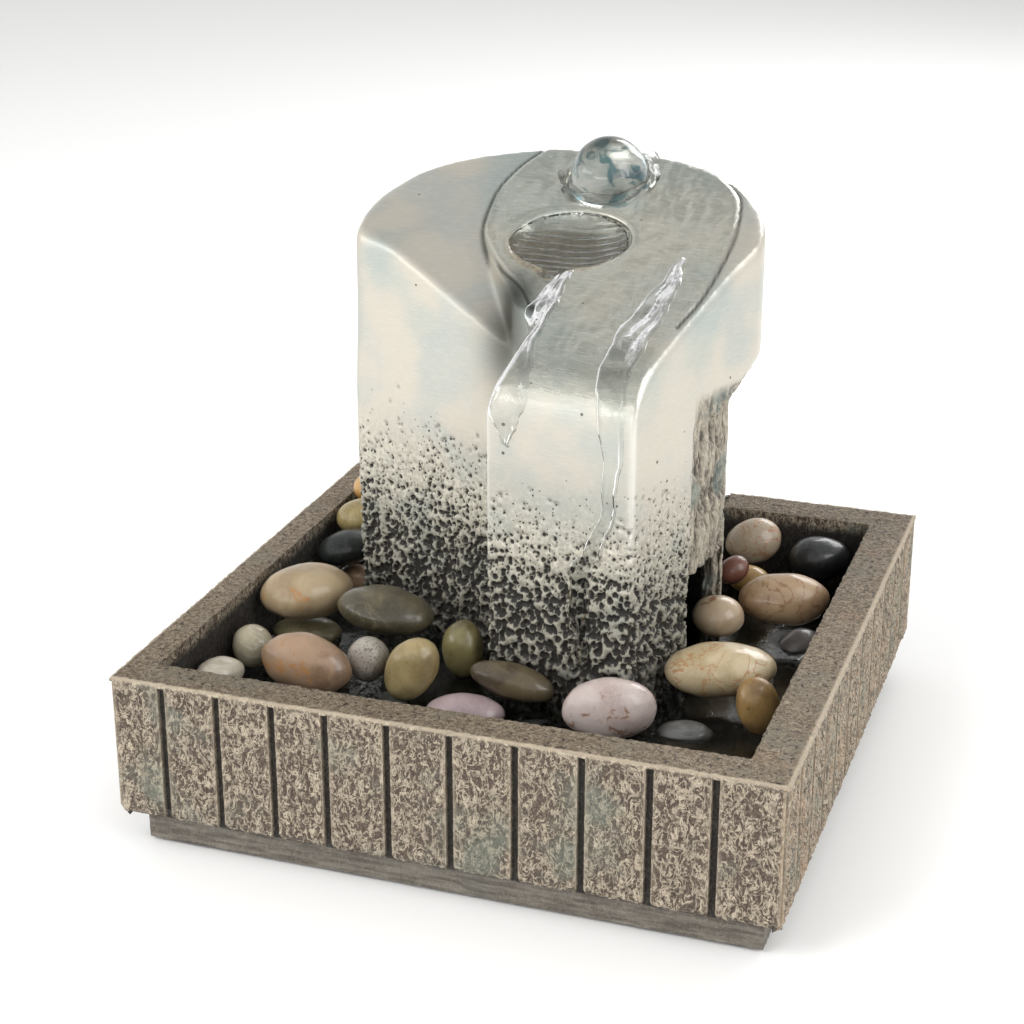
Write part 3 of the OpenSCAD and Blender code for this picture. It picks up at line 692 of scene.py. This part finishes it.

# %% [markdown]
# ## Column: seams, ripples and wetness
# A thin seam runs around the pool and along both sides of the water's course; its groove is darkened with
# painted shade.
# Inside it the surface stands a little proud and is covered by moving water. The
# seams are smooth curves through a few given plan points. Each point of the
# mesh is measured against them.

# %% Seams and the water's course
def flowing(path, steps=12):
    """A smooth curve through points, by Catmull-Rom."""
    path = np.array(path, float)
    padded = np.vstack([2 * path[0] - path[1], path, 2 * path[-1] - path[-2]])
    out = []
    for p0, p1, p2, p3 in zip(padded, padded[1:], padded[2:], padded[3:]):
        for t in np.linspace(0, 1, steps, endpoint=False):
            out.append(0.5 * (2 * p1 + (p2 - p0) * t + (2 * p0 - 5 * p1 + 4 * p2 - p3) * t * t
                              + (3 * p1 - p0 - 3 * p2 + p3) * t ** 3))
    return np.array([*out, path[-1]])


LEFT_SEAM = flowing([(-21, 70), (-29, 56), (-33, 40), (-32, 25), (-21, 11), (-9, 1), (-4, -5)])
RIGHT_SEAM = flowing([(28, 70), (42, 58), (52, 46), (55, 36), (56, 25), (55, 14), (52, 0),
                      (47, -12)])


def distance_to(path, xy):
    nearest = np.full(len(xy), 1e9)
    for a, b in zip(path, path[1:]):
        edge = b - a
        t = np.clip(((xy - a) @ edge) / (edge @ edge), 0, 1)
        nearest = np.minimum(nearest, np.linalg.norm(xy - a - t[:, None] * edge, axis=1))
    return nearest


points = points_of(column_mesh) * 1000
normals = normals_of(column_mesh)
x, y, z = points.T
plan = points[:, :2]
on_top = smoothstep(normals[:, 2], 0.25, 0.5) * smoothstep(z, 128, 140)
seam_gap = np.minimum(distance_to(LEFT_SEAM, plan), distance_to(RIGHT_SEAM, plan))
course = np.vstack([LEFT_SEAM, [(-11, -31)], [(41, -37)], RIGHT_SEAM[::-1]])
inside = inside_depth(course, plan)
seam = np.exp(-(seam_gap / 0.6) ** 2) * on_top
wet = smoothstep(inside, -0.5, 2.5) * smoothstep(z, 120, 140)
swell = 0.35 * smoothstep(inside, 0.3, 2.0) * on_top
right_run = np.exp(-((distance_to(flowing([(18, 55), (34, 44), (40, 26), (36, 4), (30, -14)]),
                                  plan)) / 9) ** 2) * on_top
moved = points + normals * (swell - 0.8 * seam)[:, None]
set_points(column_mesh, moved * MM)
y_core = np.where(x > 40, -6.0, 26.0)
core = smoothstep(y, y_core, y_core + 3) * smoothstep(-z, -141, -134) * ~hollow
bowl_reach = np.hypot((x + 0.5) / 23.0, (y - 21.5) / 15.0)
bowl = (1 - smoothstep(bowl_reach, 0.84, 1.0)) * smoothstep(z, 160, 166) * ~hollow
cleft_shade = np.exp(-((x + 12) ** 2 + (y + 1) ** 2) / 110.0) * smoothstep(z, 118, 150)
corner_gap = np.minimum(np.hypot(x + 11, y + 31), np.hypot(x - 40.66, y + 36.98))
# painted highlight: a thin light line down the tongue's two front vertical edges
polished = np.exp(-(corner_gap / 1.2) ** 2) * smoothstep(z, 84, 112) * ~hollow
for name, values in (("seam", seam), ("wet", wet), ("bowl", bowl), ("cleft", cleft_shade),
                     ("polished", polished), ("run", right_run * wet), ("core", core),
                     ("skin", np.where(hollow, 0.0, 1.0) * smoothstep(-z, -150, -140)),
                     ("inner", hollow.astype(float))):
    store(column_mesh, name, values)

# %% [markdown]
# ## Column: material
# Brushed pewter with teal tints on the head becomes pale stone below. The metal
# weight, roughness and colour all follow the height and the same pits that the
# mesh has. The wet part has a clear coat.

# %% Cast column material
cast = Finish("pewter_and_lava", Roughness=0.35, Coat_Roughness=0.04)
mm = cast.stored("rest", vector=True)
x_, y_, z_ = cast.parts(mm)
seam_, wet_, core_, inner_, bowl_, painted_cleft_shade, painted_edge_highlight_ = [
    cast.stored(n) for n in ("seam", "wet", "core", "inner", "bowl", "cleft", "polished")]
brush = cast.noise(cast.stretch(mm, (0.25, 0.25, 2.4)), 1.0, 4, 0.7)
clouds = cast.noise(mm, 0.032, 2.5, 0.55)
silver = cast.blend(clouds.fit(0.42, 0.62), (0.62, 0.58, 0.50), (0.52, 0.53, 0.49))
teal = cast.noise(mm, 0.022, 2, 0.5).fit(0.47, 0.62) * z_.fit(125, 168)
silver = cast.blend(teal * 0.6, silver, (0.34, 0.44, 0.44))
silver = cast.blend(wet_ * 0.45, silver, (0.40, 0.41, 0.33))
silver = cast.blend(brush.fit(0.4, 0.7) * 0.3, silver, (0.76, 0.72, 0.64))
flecks, fleck_luck = cast.cells(cast.stretch(mm, grey(0.22)))
fleck = ((fleck_luck.fit(0.86, 1.0) * 0.16) - flecks).fit(0.0, 0.03)
silver = cast.blend(fleck * 0.8, silver, (0.05, 0.045, 0.035))
pit = pits(cast, mm)
dust = cast.noise(mm, 0.7, 4, 0.65)
stone = cast.blend(dust.fit(0.38, 0.66), (0.40, 0.38, 0.31), (0.66, 0.62, 0.52))
stone = cast.blend(cast.noise(mm, 0.06, 2, 0.5).fit(0.5, 0.66) * 0.35, stone, (0.30, 0.36, 0.33))
stone = cast.blend(z_.fit(62, 100, 0.55, 0.0), stone, (0.17, 0.16, 0.125))
low = z_.fit(84, 124, 1.0, 0.0)
body = cast.blend(low, silver, stone)
# painted shade: the pits are darkened nearly to black
body = cast.blend(pit * 0.97, body, (0.016, 0.014, 0.012))
ridge = grain(cast, mm)
chips = cast.noise(cast.stretch(mm, (1.0, 1.0, 0.3)), 1.0, 3, 0.7).fit(0.42, 0.6)
rough = cast.blend(ridge * 0.65 + chips * 0.4, (0.035, 0.03, 0.025), (0.56, 0.50, 0.40))
rough = cast.blend(cast.noise(mm, 0.07, 2, 0.5).fit(0.52, 0.66) * 0.45, rough, (0.19, 0.27, 0.26))
body = cast.blend(core_, body, rough)
body = cast.blend(bowl_ * 0.9, body, cast.blend(dust.fit(0.35, 0.65), (0.13, 0.10, 0.06),
                                               (0.34, 0.28, 0.18)))
# painted highlight along the tongue's two front vertical edges
body = cast.blend(painted_edge_highlight_ * 0.8, body, (0.92, 0.90, 0.85))
# painted shade in the cleft between the lobe and the tongue
body = cast.blend(painted_cleft_shade * 0.9, body, (0.05, 0.048, 0.035))
# painted shade in the seam's groove
body = cast.blend(seam_ * 0.85, body, (0.05, 0.05, 0.04))
# painted shade inside the hollow
body = cast.blend(inner_, body, (0.06, 0.055, 0.05))
# darker towards the foot: the darkening is painted shade among the pebbles, and the same mask gives a
# damp coat
damp_and_painted_shade = z_.fit(46, 56, 0.55, 0.0)
body = cast.blend(damp_and_painted_shade, body, (0.03, 0.028, 0.024))
metal = (1 - low) * (1 - core_) * (1 - pit) * (1 - inner_) * (1 - bowl_) * 0.82
cast.put(Base_Color=body, Metallic=metal,
         Roughness=0.34 + low * 0.2 + core_ * 0.25 + brush * 0.08 - wet_ * 0.12,
         Coat_Weight=wet_ * 0.7 + damp_and_painted_shade)
cast.bump(brush * 0.12 * (1 - low) + dust * low * 0.5 + chips * core_ * 0.8 + pit * -1.0, 0.5, 0.7)

# %% Carve the column and thin its hollow
weather = Recipe("Lava foot", Pit_Depth=1.5, Groove_Depth=2.0, Ripple=0.42, Material=cast.material)
rest = weather.stretch(weather.position(), (1000, 1000, 1000))
skin_geometry = weather.keep(weather.given("Geometry"), "rest", rest, "FLOAT_VECTOR")
skin_w, core_w, wet_w, run_w = [weather.attribute(n) for n in ("skin", "core", "wet", "run")]
pit_push = pits(weather, rest) * weather.given("Pit_Depth") * skin_w * (1 - core_w)
grain_push = (1 - grain(weather, rest)) * weather.given("Groove_Depth") * core_w
ripples = (weather.noise(weather.stretch(rest, (0.12, 0.085, 0.085)), 1.0, 2, 0.5, 0.8) - 0.5)
streaks = (weather.noise(weather.stretch(rest, (0.30, 0.06, 0.06)), 1.0, 1.5, 0.5, 0.5) - 0.5)
ripple_push = (ripples * 2.2 + streaks * run_w * 2.6) * weather.given("Ripple") * wet_w
weather.finish(weather.push(skin_geometry, ripple_push - pit_push - grain_push))
column_skin = weather.run(column_mesh, "column_skin")
inner_group = column_skin.vertex_groups.new(name="inner")
inner_group.add(np.flatnonzero(hollow).tolist(), 1.0, "REPLACE")
thin = column_skin.modifiers.new("thin", "DECIMATE")
thin.vertex_group, thin.ratio = "inner", max(0.05, 1 - 0.92 * hollow.mean())
thin.use_collapse_triangulate = False
thinned = evaluated(column_skin, "column_skin_mesh")
column_skin = add_object("column_skin", thinned)
triangles = sum(len(p.vertices) - 2 for p in thinned.polygons)
print("column triangles", triangles)
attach(column_skin, "column_unit")
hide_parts("column")

# %% [markdown]
# ## Water
# Water is looks only: a rippled sheet in the basin, the pool's surface, a film that
# spills from the pool into the cleft, and the stream that leaves the ball on the
# right and falls down the front. Each is a closed thin skin of clear water. The
# streams follow a path of given points, laid onto the column by a nearest-point
# search, with a raised lip along both edges, as running water has.

# %% Water materials
def clear_water(name, tint, roughness=0.02):
    look = Finish(name, Roughness=roughness, IOR=1.33, Transmission_Weight=1.0)
    mm = look.here()
    swirl = look.noise(mm, 0.12, 3, 0.5, 0.6)
    look.put(Base_Color=look.blend(swirl.fit(0.35, 0.65), tint, tuple(c * 0.82 for c in tint)))
    look.bump(look.noise(mm, 0.3, 2, 0.5, 0.5), 0.5, 0.25)
    return look.material


STREAM_WATER = clear_water("running_water", (0.97, 0.99, 0.99))
BASIN_WATER = clear_water("still_water", (0.90, 0.93, 0.90))


# %% A sheet of water with a thickness
def water_sheet(name, top, bottom, rows, columns, material, body):
    """Closed skin between two grids of points, in millimetres."""
    faces = grid_faces(rows, columns, closed_columns=False)
    n = rows * columns
    under = [tuple(n + v for v in reversed(face)) for face in faces]
    rim = ([(0, j) for j in range(columns)] + [(i, columns - 1) for i in range(1, rows)]
           + [(rows - 1, j) for j in range(columns - 2, -1, -1)]
           + [(i, 0) for i in range(rows - 2, 0, -1)])
    loop = [i * columns + j for i, j in rim]
    walls = [(a, n + a, n + b, b) for a, b in zip(loop, loop[1:] + loop[:1])]
    mesh = bpy.data.meshes.new(name)
    mesh.from_pydata((np.vstack([top, bottom]) * MM).tolist(), [], faces + under + walls)
    mesh.polygons.foreach_set("use_smooth", [True] * len(mesh.polygons))
    mesh.materials.append(material)
    made = add_object(name, mesh)
    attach(made, body)
    return made


def ripple(x, y, length, seed):
    """Small crossing waves."""
    total = 0
    for k in range(5):
        turn = seed + k * 2.4
        total = total + np.sin((x * math.cos(turn) + y * math.sin(turn)) * 2 * math.pi
                               / (length * (1 + 0.37 * k)) + k * 1.7 + seed)
    return total / 5


# %% Water in the basin and in the pool
WATER_Z = 36.5
xs, ys = np.meshgrid(np.linspace(WELL[0][0] + 0.2, WELL[1][0] - 0.2, 130),
                     np.linspace(WELL[0][1] + 0.2, WELL[1][1] - 0.2, 130))
wave = 0.45 * ripple(xs, ys, 13, 0.4)
water_top = np.column_stack([xs.ravel(), ys.ravel(), (WATER_Z + wave).ravel()])
water_under = np.column_stack([xs.ravel(), ys.ravel(), np.full(xs.size, WATER_Z - 1.6)])
water_sheet("basin_water", water_top, water_under, 130, 130, BASIN_WATER, "base")

# the pool sags a little below the tongue's slope, from its lip up to its back edge
POOL_MIDDLE, POOL_HALF, POOL_SAG = (-0.5, 21.3), (21.0, 13.4), 2.6
TONGUE_Z, TONGUE_RISE, TONGUE_ACROSS = 168.2, 0.5439, 0.0629
u, v = np.meshgrid(np.linspace(-1, 1, 72), np.linspace(-1, 1, 72))
disc_x, disc_y = u * np.sqrt(1 - v * v / 2), v * np.sqrt(1 - u * u / 2)
px, py = POOL_MIDDLE[0] + POOL_HALF[0] * disc_x, POOL_MIDDLE[1] + POOL_HALF[1] * disc_y
calm = 1 - (disc_x ** 2 + disc_y ** 2)
slope = TONGUE_Z + py * TONGUE_RISE + px * TONGUE_ACROSS
pool_wave = 0.24 * np.sin(py * 2 * math.pi / 2.6 + 1.1 * np.sin(px / 4.5)) * calm ** 0.3
pool_top = slope - 0.5 - POOL_SAG * calm + pool_wave + 0.12 * ripple(px, py, 6, 1)
pool_grid = [np.column_stack([px.ravel(), py.ravel(), (pool_top - drop).ravel()])
             for drop in (0, 0.9)]
pool = water_sheet("pool_water", *pool_grid, 72, 72, STREAM_WATER, "column_unit")

# %% Streams over the tongue
skin_tree = BVHTree.FromPolygons([v.co for v in thinned.vertices],
                                 [p.vertices for p in thinned.polygons])


def smoothed(rows, rounds=4):
    """Rounds a grid of points along its length, with its two ends kept."""
    for _ in range(rounds):
        rows[1:-1] = (rows[:-2] + 2 * rows[1:-1] + rows[2:]) / 4
    return rows.reshape(-1, 3)


def stream(name, course, widths, seed, lip=0.5, film=0.35, across=23, steps=14):
    """A ribbon of water along course, laid on the column."""
    line = flowing(course, steps)
    spread = np.interp(np.linspace(0, 1, len(line)), np.linspace(0, 1, len(widths)), widths)
    top, under = [], []
    for k, centre in enumerate(line):
        ahead = line[min(k + 1, len(line) - 1)] - line[max(k - 1, 0)]
        _, normal, _, _ = skin_tree.find_nearest(Vector(centre * MM))
        sideways = np.cross(np.array(normal), ahead)
        sideways /= np.linalg.norm(sideways)
        taper = min(1.0, (k + 0.5) / 4, (len(line) - k - 0.5) / 4)
        for j in range(across):
            s = 2 * j / (across - 1) - 1
            wander = 0.9 * math.sin(k * 0.33 + seed) + 0.5 * math.sin(k * 0.9 + seed * 2)
            probe = centre + sideways * (s * spread[k] / 2 + wander * 0.5)
            foot, away, _, _ = skin_tree.find_nearest(Vector(probe * MM))
            foot, away = np.array(foot) * 1000, np.array(normal) * 0.5 + np.array(away) * 0.5
            rib = math.exp(-((abs(s) - 0.82) / 0.16) ** 2) * lip
            inner_ribs = 0.35 * math.sin(s * 7 + k * 0.12 + seed) * (1 - abs(s))
            height = (film + rib + inner_ribs * film) * taper * (1 - s ** 8) + 0.05
            top.append(foot + away * height)
            under.append(foot - away * 0.35)
    top, under = [smoothed(np.array(side).reshape(len(line), across, 3)) for side in (top, under)]
    return water_sheet(name, top, under, len(line), across,
                       STREAM_WATER, "column_unit")


stream("pool_spill", [(2, 9, 175), (1, 0, 171), (-1, -8, 166), (-2.5, -16, 161), (-3, -23, 155),
                      (-3.5, -29, 147), (-4, -31.5, 138), (-4, -32, 131), (-3, -32, 125)],
       [7, 9, 12, 14, 16, 16, 13, 7, 0.8], 0.7)
stream("ball_stream", [(41, 14, 182), (40, 6, 178), (38, -4, 172), (35, -14, 165), (33, -23, 158),
                       (32, -31, 148), (33, -36, 136), (33, -37, 122), (32, -37, 108),
                       (28, -37, 96), (24, -36, 88), (22, -36, 76), (23, -36, 64), (23, -36, 52)],
       [1, 6, 10, 12, 12, 11, 9, 6, 5, 6, 9, 9, 8, 9], 2.1, film=0.25)

# %% A mound of water around the ball
MOUND_C, SEAT_TILT = np.array((5.5, 51.2, 194.1)), math.radians(22.8)
# the mound's section: distance from the ball's middle line, height above the crest
MOUND = np.array([(13.2, -1.0), (13.2, 3.4), (13.6, 3.9), (14.4, 3.6), (15.6, 2.5), (17.2, 1.5),
                  (19.2, 0.8), (21.5, 0.25), (23.0, -0.2), (23.0, -1.2)])
around_n = 120
angle = np.linspace(0, 2 * math.pi, around_n, endpoint=False)
uneven = 1 + 0.10 * np.sin(3 * angle + 0.6) + 0.08 * np.sin(7 * angle) + 0.05 * np.sin(13 * angle)
reach = (0.58 + 0.34 * np.sin(angle)) * uneven        # short towards the pool, long behind
seat_up = np.array((0.0, -math.sin(SEAT_TILT), math.cos(SEAT_TILT)))
seat_back = np.array((0.0, math.cos(SEAT_TILT), math.sin(SEAT_TILT)))
outward = np.outer(np.cos(angle), (1.0, 0.0, 0.0)) + np.outer(np.sin(angle), seat_back)
rings = [MOUND_C + outward * (13.2 + (far - 13.2) * reach)[:, None]
         + seat_up * (up * np.where(up > 0, uneven, 1))[:, None] for far, up in MOUND]
mound_mesh = bpy.data.meshes.new("ball_mound")
total = around_n * len(MOUND)
mound_mesh.from_pydata((np.vstack(rings) * MM).tolist(), [],
                       [tuple(v % total for v in reversed(face))
                        for face in grid_faces(len(MOUND) + 1, around_n)])
mound_mesh.polygons.foreach_set("use_smooth", [True] * len(mound_mesh.polygons))
mound_mesh.materials.append(STREAM_WATER)
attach(add_object("ball_mound", mound_mesh), "column_unit")

# %% [markdown]
# ## Glass ball
# A clear glass ball turns on the jet. It is a smooth sphere with a trace of the
# flattened pole and moulding waviness that a cast marble has.

# %% Glass ball
ball_low, ball_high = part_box("glass_ball")
ball_centre = (ball_low + ball_high) / 2
ball_radius = (ball_high - ball_low).x / 2
ball_mesh = bpy.data.meshes.new("glass_ball")
lat, lon = 64, 96
angles = np.linspace(0, math.pi, lat)[1:-1, None]
turns_ = np.linspace(0, 2 * math.pi, lon, endpoint=False)[None, :]
wavy = 1 - 0.006 * (1 + np.sin(3 * turns_ + 2 * angles) * np.sin(angles) ** 2)
sphere = np.stack([np.sin(angles) * np.cos(turns_) * wavy, np.sin(angles) * np.sin(turns_) * wavy,
                   -np.cos(angles) * wavy], axis=-1).reshape(-1, 3)
poles = np.array([(0, 0, -0.994), (0, 0, 0.994)])
everything = np.vstack([sphere, poles]) * ball_radius + np.array(ball_centre)
ball_faces = grid_faces(lat - 2, lon)
bottom, top_pole, last = len(sphere), len(sphere) + 1, (lat - 3) * lon
ball_faces += [(bottom, (j + 1) % lon, j) for j in range(lon)]
ball_faces += [(top_pole, last + j, last + (j + 1) % lon) for j in range(lon)]
ball_mesh.from_pydata(everything.tolist(), [], ball_faces)
ball_mesh.polygons.foreach_set("use_smooth", [True] * len(ball_mesh.polygons))
glass = Finish("clear_glass", Roughness=0.0, IOR=1.5, Transmission_Weight=1.0)
# painted reflections: dark teal patches in the glass colour stand in for the dark surroundings the ball
# reflects and refracts
painted_reflections = glass.noise(glass.here(), 0.13, 2, 0.5, 1.4)
glass.put(Base_Color=glass.blend(painted_reflections.fit(0.50, 0.64), (0.97, 0.99, 1.0), (0.08, 0.22, 0.28)))
ball_mesh.materials.append(glass.material)
ball = add_object("clear_ball", ball_mesh)
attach(ball, "ball")
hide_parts("glass_ball")

# %% [markdown]
# ## River pebbles
# Every stone starts as its CAD solid, remeshed into even quads. Broad noise takes
# a little off each one, so that no two have the same outline, and stays inside the
# solid so that stones never run into each other.

# %% Pebble materials
WET_STONE = 0.8          # a wet stone is darker than a dry one


def river_stone(name, light, dark, mark, marks="plain", wetness=0.6, scale=1.0):
    """marks: plain, veins, spots, speckle or grain."""
    look = Finish(name, Coat_Roughness=0.06)
    light, dark, mark = [tuple(c * WET_STONE for c in colour) for colour in (light, dark, mark)]
    mm = look.stretch(look.here(), grey(scale))
    broad = look.noise(mm, 0.07, 3, 0.55, 0.5)
    base = look.blend(broad.fit(0.36, 0.64), dark, light)
    fine = look.noise(mm, 0.9, 4, 0.7)
    base = look.blend(fine.fit(0.3, 0.8) * 0.25, base, tuple(min(1, c * 1.35) for c in light))
    lines = look.noise(mm, 0.085, 4, 0.6, 0.9)
    vein = (lines - 0.5).size().fit(0.0, 0.022, 1.0, 0.0)
    amounts = {"plain": vein * 0.2, "veins": vein * 0.8,
               "spots": look.noise(mm, 0.16, 3, 0.6, 0.5).fit(0.58, 0.66) * 0.85,
               "speckle": look.noise(mm, 1.3, 2, 0.7).fit(0.54, 0.62) * 0.7,
               "grain": look.noise(look.stretch(mm, (0.1, 0.1, 0.9)), 1, 3, 0.6).fit(0.5, 0.62) * 0.5}
    base = look.blend(amounts[marks], base, mark)
    z = look.parts(look.here())[2]
    soaked = z.fit(WATER_Z - 1, WATER_Z + 4, 0.55, 0.0)
    base = look.blend(soaked, base, tuple(c * 0.35 for c in dark))
    look.put(Base_Color=base, Roughness=0.30 + fine * 0.16 - soaked * 0.15,
             Coat_Weight=look.noise(mm, 0.05, 2, 0.5).fit(0.35, 0.65, wetness * 0.45, wetness))
    look.bump(fine * 0.4 + lines, 0.25, 0.35)
    return look.material


CREAM, RUST, BROWN, SLATE = (0.66, 0.56, 0.40), (0.42, 0.17, 0.05), (0.13, 0.07, 0.03), (0.05, 0.05, 0.05)
STONES = [  # light, dark, mark, marks
    ((0.62, 0.36, 0.12), (0.40, 0.19, 0.05), BROWN, "plain"),
    ((0.50, 0.40, 0.18), (0.30, 0.23, 0.10), BROWN, "plain"),
    ((0.025, 0.03, 0.027), (0.008, 0.01, 0.01), (0.10, 0.11, 0.10), "plain"),
    ((0.47, 0.36, 0.22), (0.33, 0.24, 0.14), (0.50, 0.24, 0.08), "spots"),
    ((0.30, 0.20, 0.12), (0.17, 0.10, 0.06), BROWN, "grain"),
    ((0.125, 0.105, 0.06), (0.055, 0.048, 0.03), (0.36, 0.30, 0.19), "plain"),
    ((0.36, 0.32, 0.18), (0.23, 0.20, 0.11), BROWN, "plain"),
    ((0.52, 0.46, 0.32), (0.36, 0.32, 0.22), (0.60, 0.55, 0.45), "veins"),
    ((0.66, 0.60, 0.48), (0.46, 0.42, 0.34), (0.34, 0.28, 0.20), "grain"),
    ((0.42, 0.28, 0.18), (0.25, 0.16, 0.10), (0.45, 0.23, 0.09), "spots"),
    ((0.46, 0.42, 0.36), (0.28, 0.24, 0.21), (0.10, 0.08, 0.07), "speckle"),
    ((0.42, 0.33, 0.16), (0.25, 0.19, 0.08), BROWN, "plain"),
    ((0.22, 0.19, 0.08), (0.12, 0.095, 0.045), BROWN, "plain"),
    ((0.13, 0.10, 0.055), (0.06, 0.045, 0.03), (0.30, 0.24, 0.15), "plain"),
    ((0.46, 0.36, 0.36), (0.32, 0.23, 0.25), (0.55, 0.47, 0.46), "plain"),
    ((0.80, 0.78, 0.72), (0.60, 0.57, 0.52), CREAM, "plain"),
    ((0.07, 0.075, 0.07), (0.03, 0.032, 0.03), (0.15, 0.15, 0.14), "plain"),
    ((0.66, 0.56, 0.52), (0.48, 0.37, 0.34), (0.30, 0.15, 0.07), "spots"),
    ((0.62, 0.51, 0.33), (0.45, 0.35, 0.20), RUST, "veins"),
    ((0.40, 0.25, 0.09), (0.20, 0.12, 0.05), BROWN, "spots"),
    ((0.16, 0.16, 0.15), (0.08, 0.08, 0.08), (0.28, 0.28, 0.26), "grain"),
    ((0.035, 0.045, 0.04), (0.012, 0.016, 0.014), (0.12, 0.13, 0.12), "plain"),
    ((0.34, 0.27, 0.11), (0.20, 0.15, 0.06), BROWN, "grain"),
    ((0.60, 0.47, 0.32), (0.44, 0.32, 0.20), (0.30, 0.14, 0.06), "spots"),
    ((0.19, 0.075, 0.05), (0.10, 0.035, 0.025), (0.30, 0.14, 0.10), "plain"),
    ((0.50, 0.33, 0.10), (0.34, 0.20, 0.06), BROWN, "plain"),
    ((0.50, 0.35, 0.21), (0.36, 0.23, 0.13), (0.28, 0.13, 0.06), "veins"),
    ((0.60, 0.50, 0.38), (0.44, 0.35, 0.25), RUST, "veins"),
    ((0.022, 0.024, 0.027), (0.008, 0.009, 0.01), (0.09, 0.09, 0.09), "plain"),
    ((0.25, 0.23, 0.21), (0.15, 0.14, 0.13), (0.45, 0.43, 0.40), "plain")]


# %% Shape the pebbles
shape_stone = Recipe("Water-worn stone", Take_Off=0.7, Seed=0.0, Material=RESIN)
stone_mm = shape_stone.stretch(shape_stone.position(), (1000, 1000, 1000))
shifted = shape_stone.node("ShaderNodeVectorMath", {"operation": "ADD"}, {
    0: stone_mm, 1: shape_stone.node("ShaderNodeCombineXYZ", {}, {0: shape_stone.given("Seed")})})
broad = shape_stone.noise(shifted, 0.075, 1.5, 0.4)
nicks = shape_stone.noise(shifted, 0.5, 2, 0.5)
taken = broad.fit(0.3, 0.7) * shape_stone.given("Take_Off") + nicks * 0.12
shape_stone.finish(shape_stone.push(shape_stone.given("Geometry"), taken * -1))

pebble_nodes = sorted(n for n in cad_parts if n.startswith("pebble_"))
for number, node in enumerate(pebble_nodes):
    light, dark, mark, marks = STONES[number % len(STONES)]
    shape_stone.values.update(Take_Off=0.7, Seed=13.7 * number,
                              Material=river_stone(node + "_stone", light, dark, mark, marks))
    stone_mesh = remeshed(node, 0.75, node + "_shape")
    relax(stone_mesh, np.full(len(stone_mesh.vertices), 0.5), 3)
    stone_piece = shape_stone.run(stone_mesh, node + "_river")
    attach(stone_piece, "base")
    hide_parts(node)

shape_stone.values.update(Take_Off=1.2, Seed=5.0, Material=river_stone(
    "mixed_stone", (0.42, 0.34, 0.22), (0.14, 0.11, 0.08), (0.50, 0.42, 0.30), "spots", 0.6, 0.6))
fill_mesh = remeshed("fill_pebbles", 1.0, "fill_shape")
relax(fill_mesh, np.full(len(fill_mesh.vertices), 0.5), 3)
fill = shape_stone.run(fill_mesh, "fill_river")
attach(fill, "base")
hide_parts("fill_pebbles")

# %% [markdown]
# ## Pump, hose and feet
# These keep their CAD shapes, which are already right. They only need finishes:
# moulded black plastic, soft clear hose, rubber, ground ceramic, copper and iron.

# %% Finishes for the CAD pieces
def moulded(name, colour, roughness, grain_size=2.0, metallic=0.0, depth=0.08):
    look = Finish(name, Metallic=metallic)
    mm = look.here()
    grit = look.noise(mm, grain_size, 3, 0.6)
    wear = look.noise(mm, 0.09, 3, 0.6)
    lighter = tuple(min(1, c * 1.5 + 0.01) for c in colour)
    look.put(Base_Color=look.blend(wear.fit(0.4, 0.7) * 0.5, colour, lighter),
             Roughness=wear * 0.2 + (roughness - 0.1))
    look.bump(grit, depth, 0.6)
    return look.material


BLACK = moulded("pump_plastic", (0.018, 0.019, 0.021), 0.42)
CAD_FINISHES = {
    "rubber_feet": moulded("foot_rubber", (0.03, 0.03, 0.03), 0.75),
    "jet_nozzle": moulded("nozzle_plastic", (0.03, 0.032, 0.036), 0.4),
    "hose": moulded("hose_vinyl", (0.62, 0.66, 0.64), 0.22, 0.5),
    "pump_housing": BLACK, "impeller_cover": BLACK, "strainer_cover": BLACK,
    "flow_dial": moulded("dial_plastic", (0.06, 0.28, 0.15), 0.38),
    "seal_ring": moulded("seal_rubber", (0.04, 0.04, 0.04), 0.7),
    "impeller": moulded("impeller_plastic", (0.62, 0.62, 0.58), 0.4),
    "rotor_magnet": moulded("ferrite", (0.05, 0.052, 0.058), 0.5, 3.0),
    "pump_shaft": moulded("ground_ceramic", (0.75, 0.72, 0.66), 0.2),
    "rear_bush": moulded("bush_rubber", (0.09, 0.09, 0.09), 0.7),
    "front_bush": moulded("bush_rubber_front", (0.09, 0.09, 0.09), 0.7),
    "stator_core": moulded("laminated_iron", (0.22, 0.22, 0.23), 0.45, 3.0, 0.9),
    "stator_coil": moulded("enamelled_copper", (0.42, 0.13, 0.035), 0.3, 4.0, 0.9),
    "potting": moulded("potting_resin", (0.06, 0.05, 0.04), 0.35),
    "suction_cups": moulded("cup_rubber", (0.04, 0.04, 0.04), 0.55),
    "cord_gland": moulded("gland_rubber", (0.02, 0.02, 0.022), 0.7)}
for node, material in CAD_FINISHES.items():
    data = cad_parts[node].data
    data.materials.clear()
    data.materials.append(material)
print(len(CAD_FINISHES), "CAD pieces keep their own shape")

# %% Sizes and the end
low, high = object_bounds()
print("visual box", [round(v, 4) for v in low], [round(v, 4) for v in high])
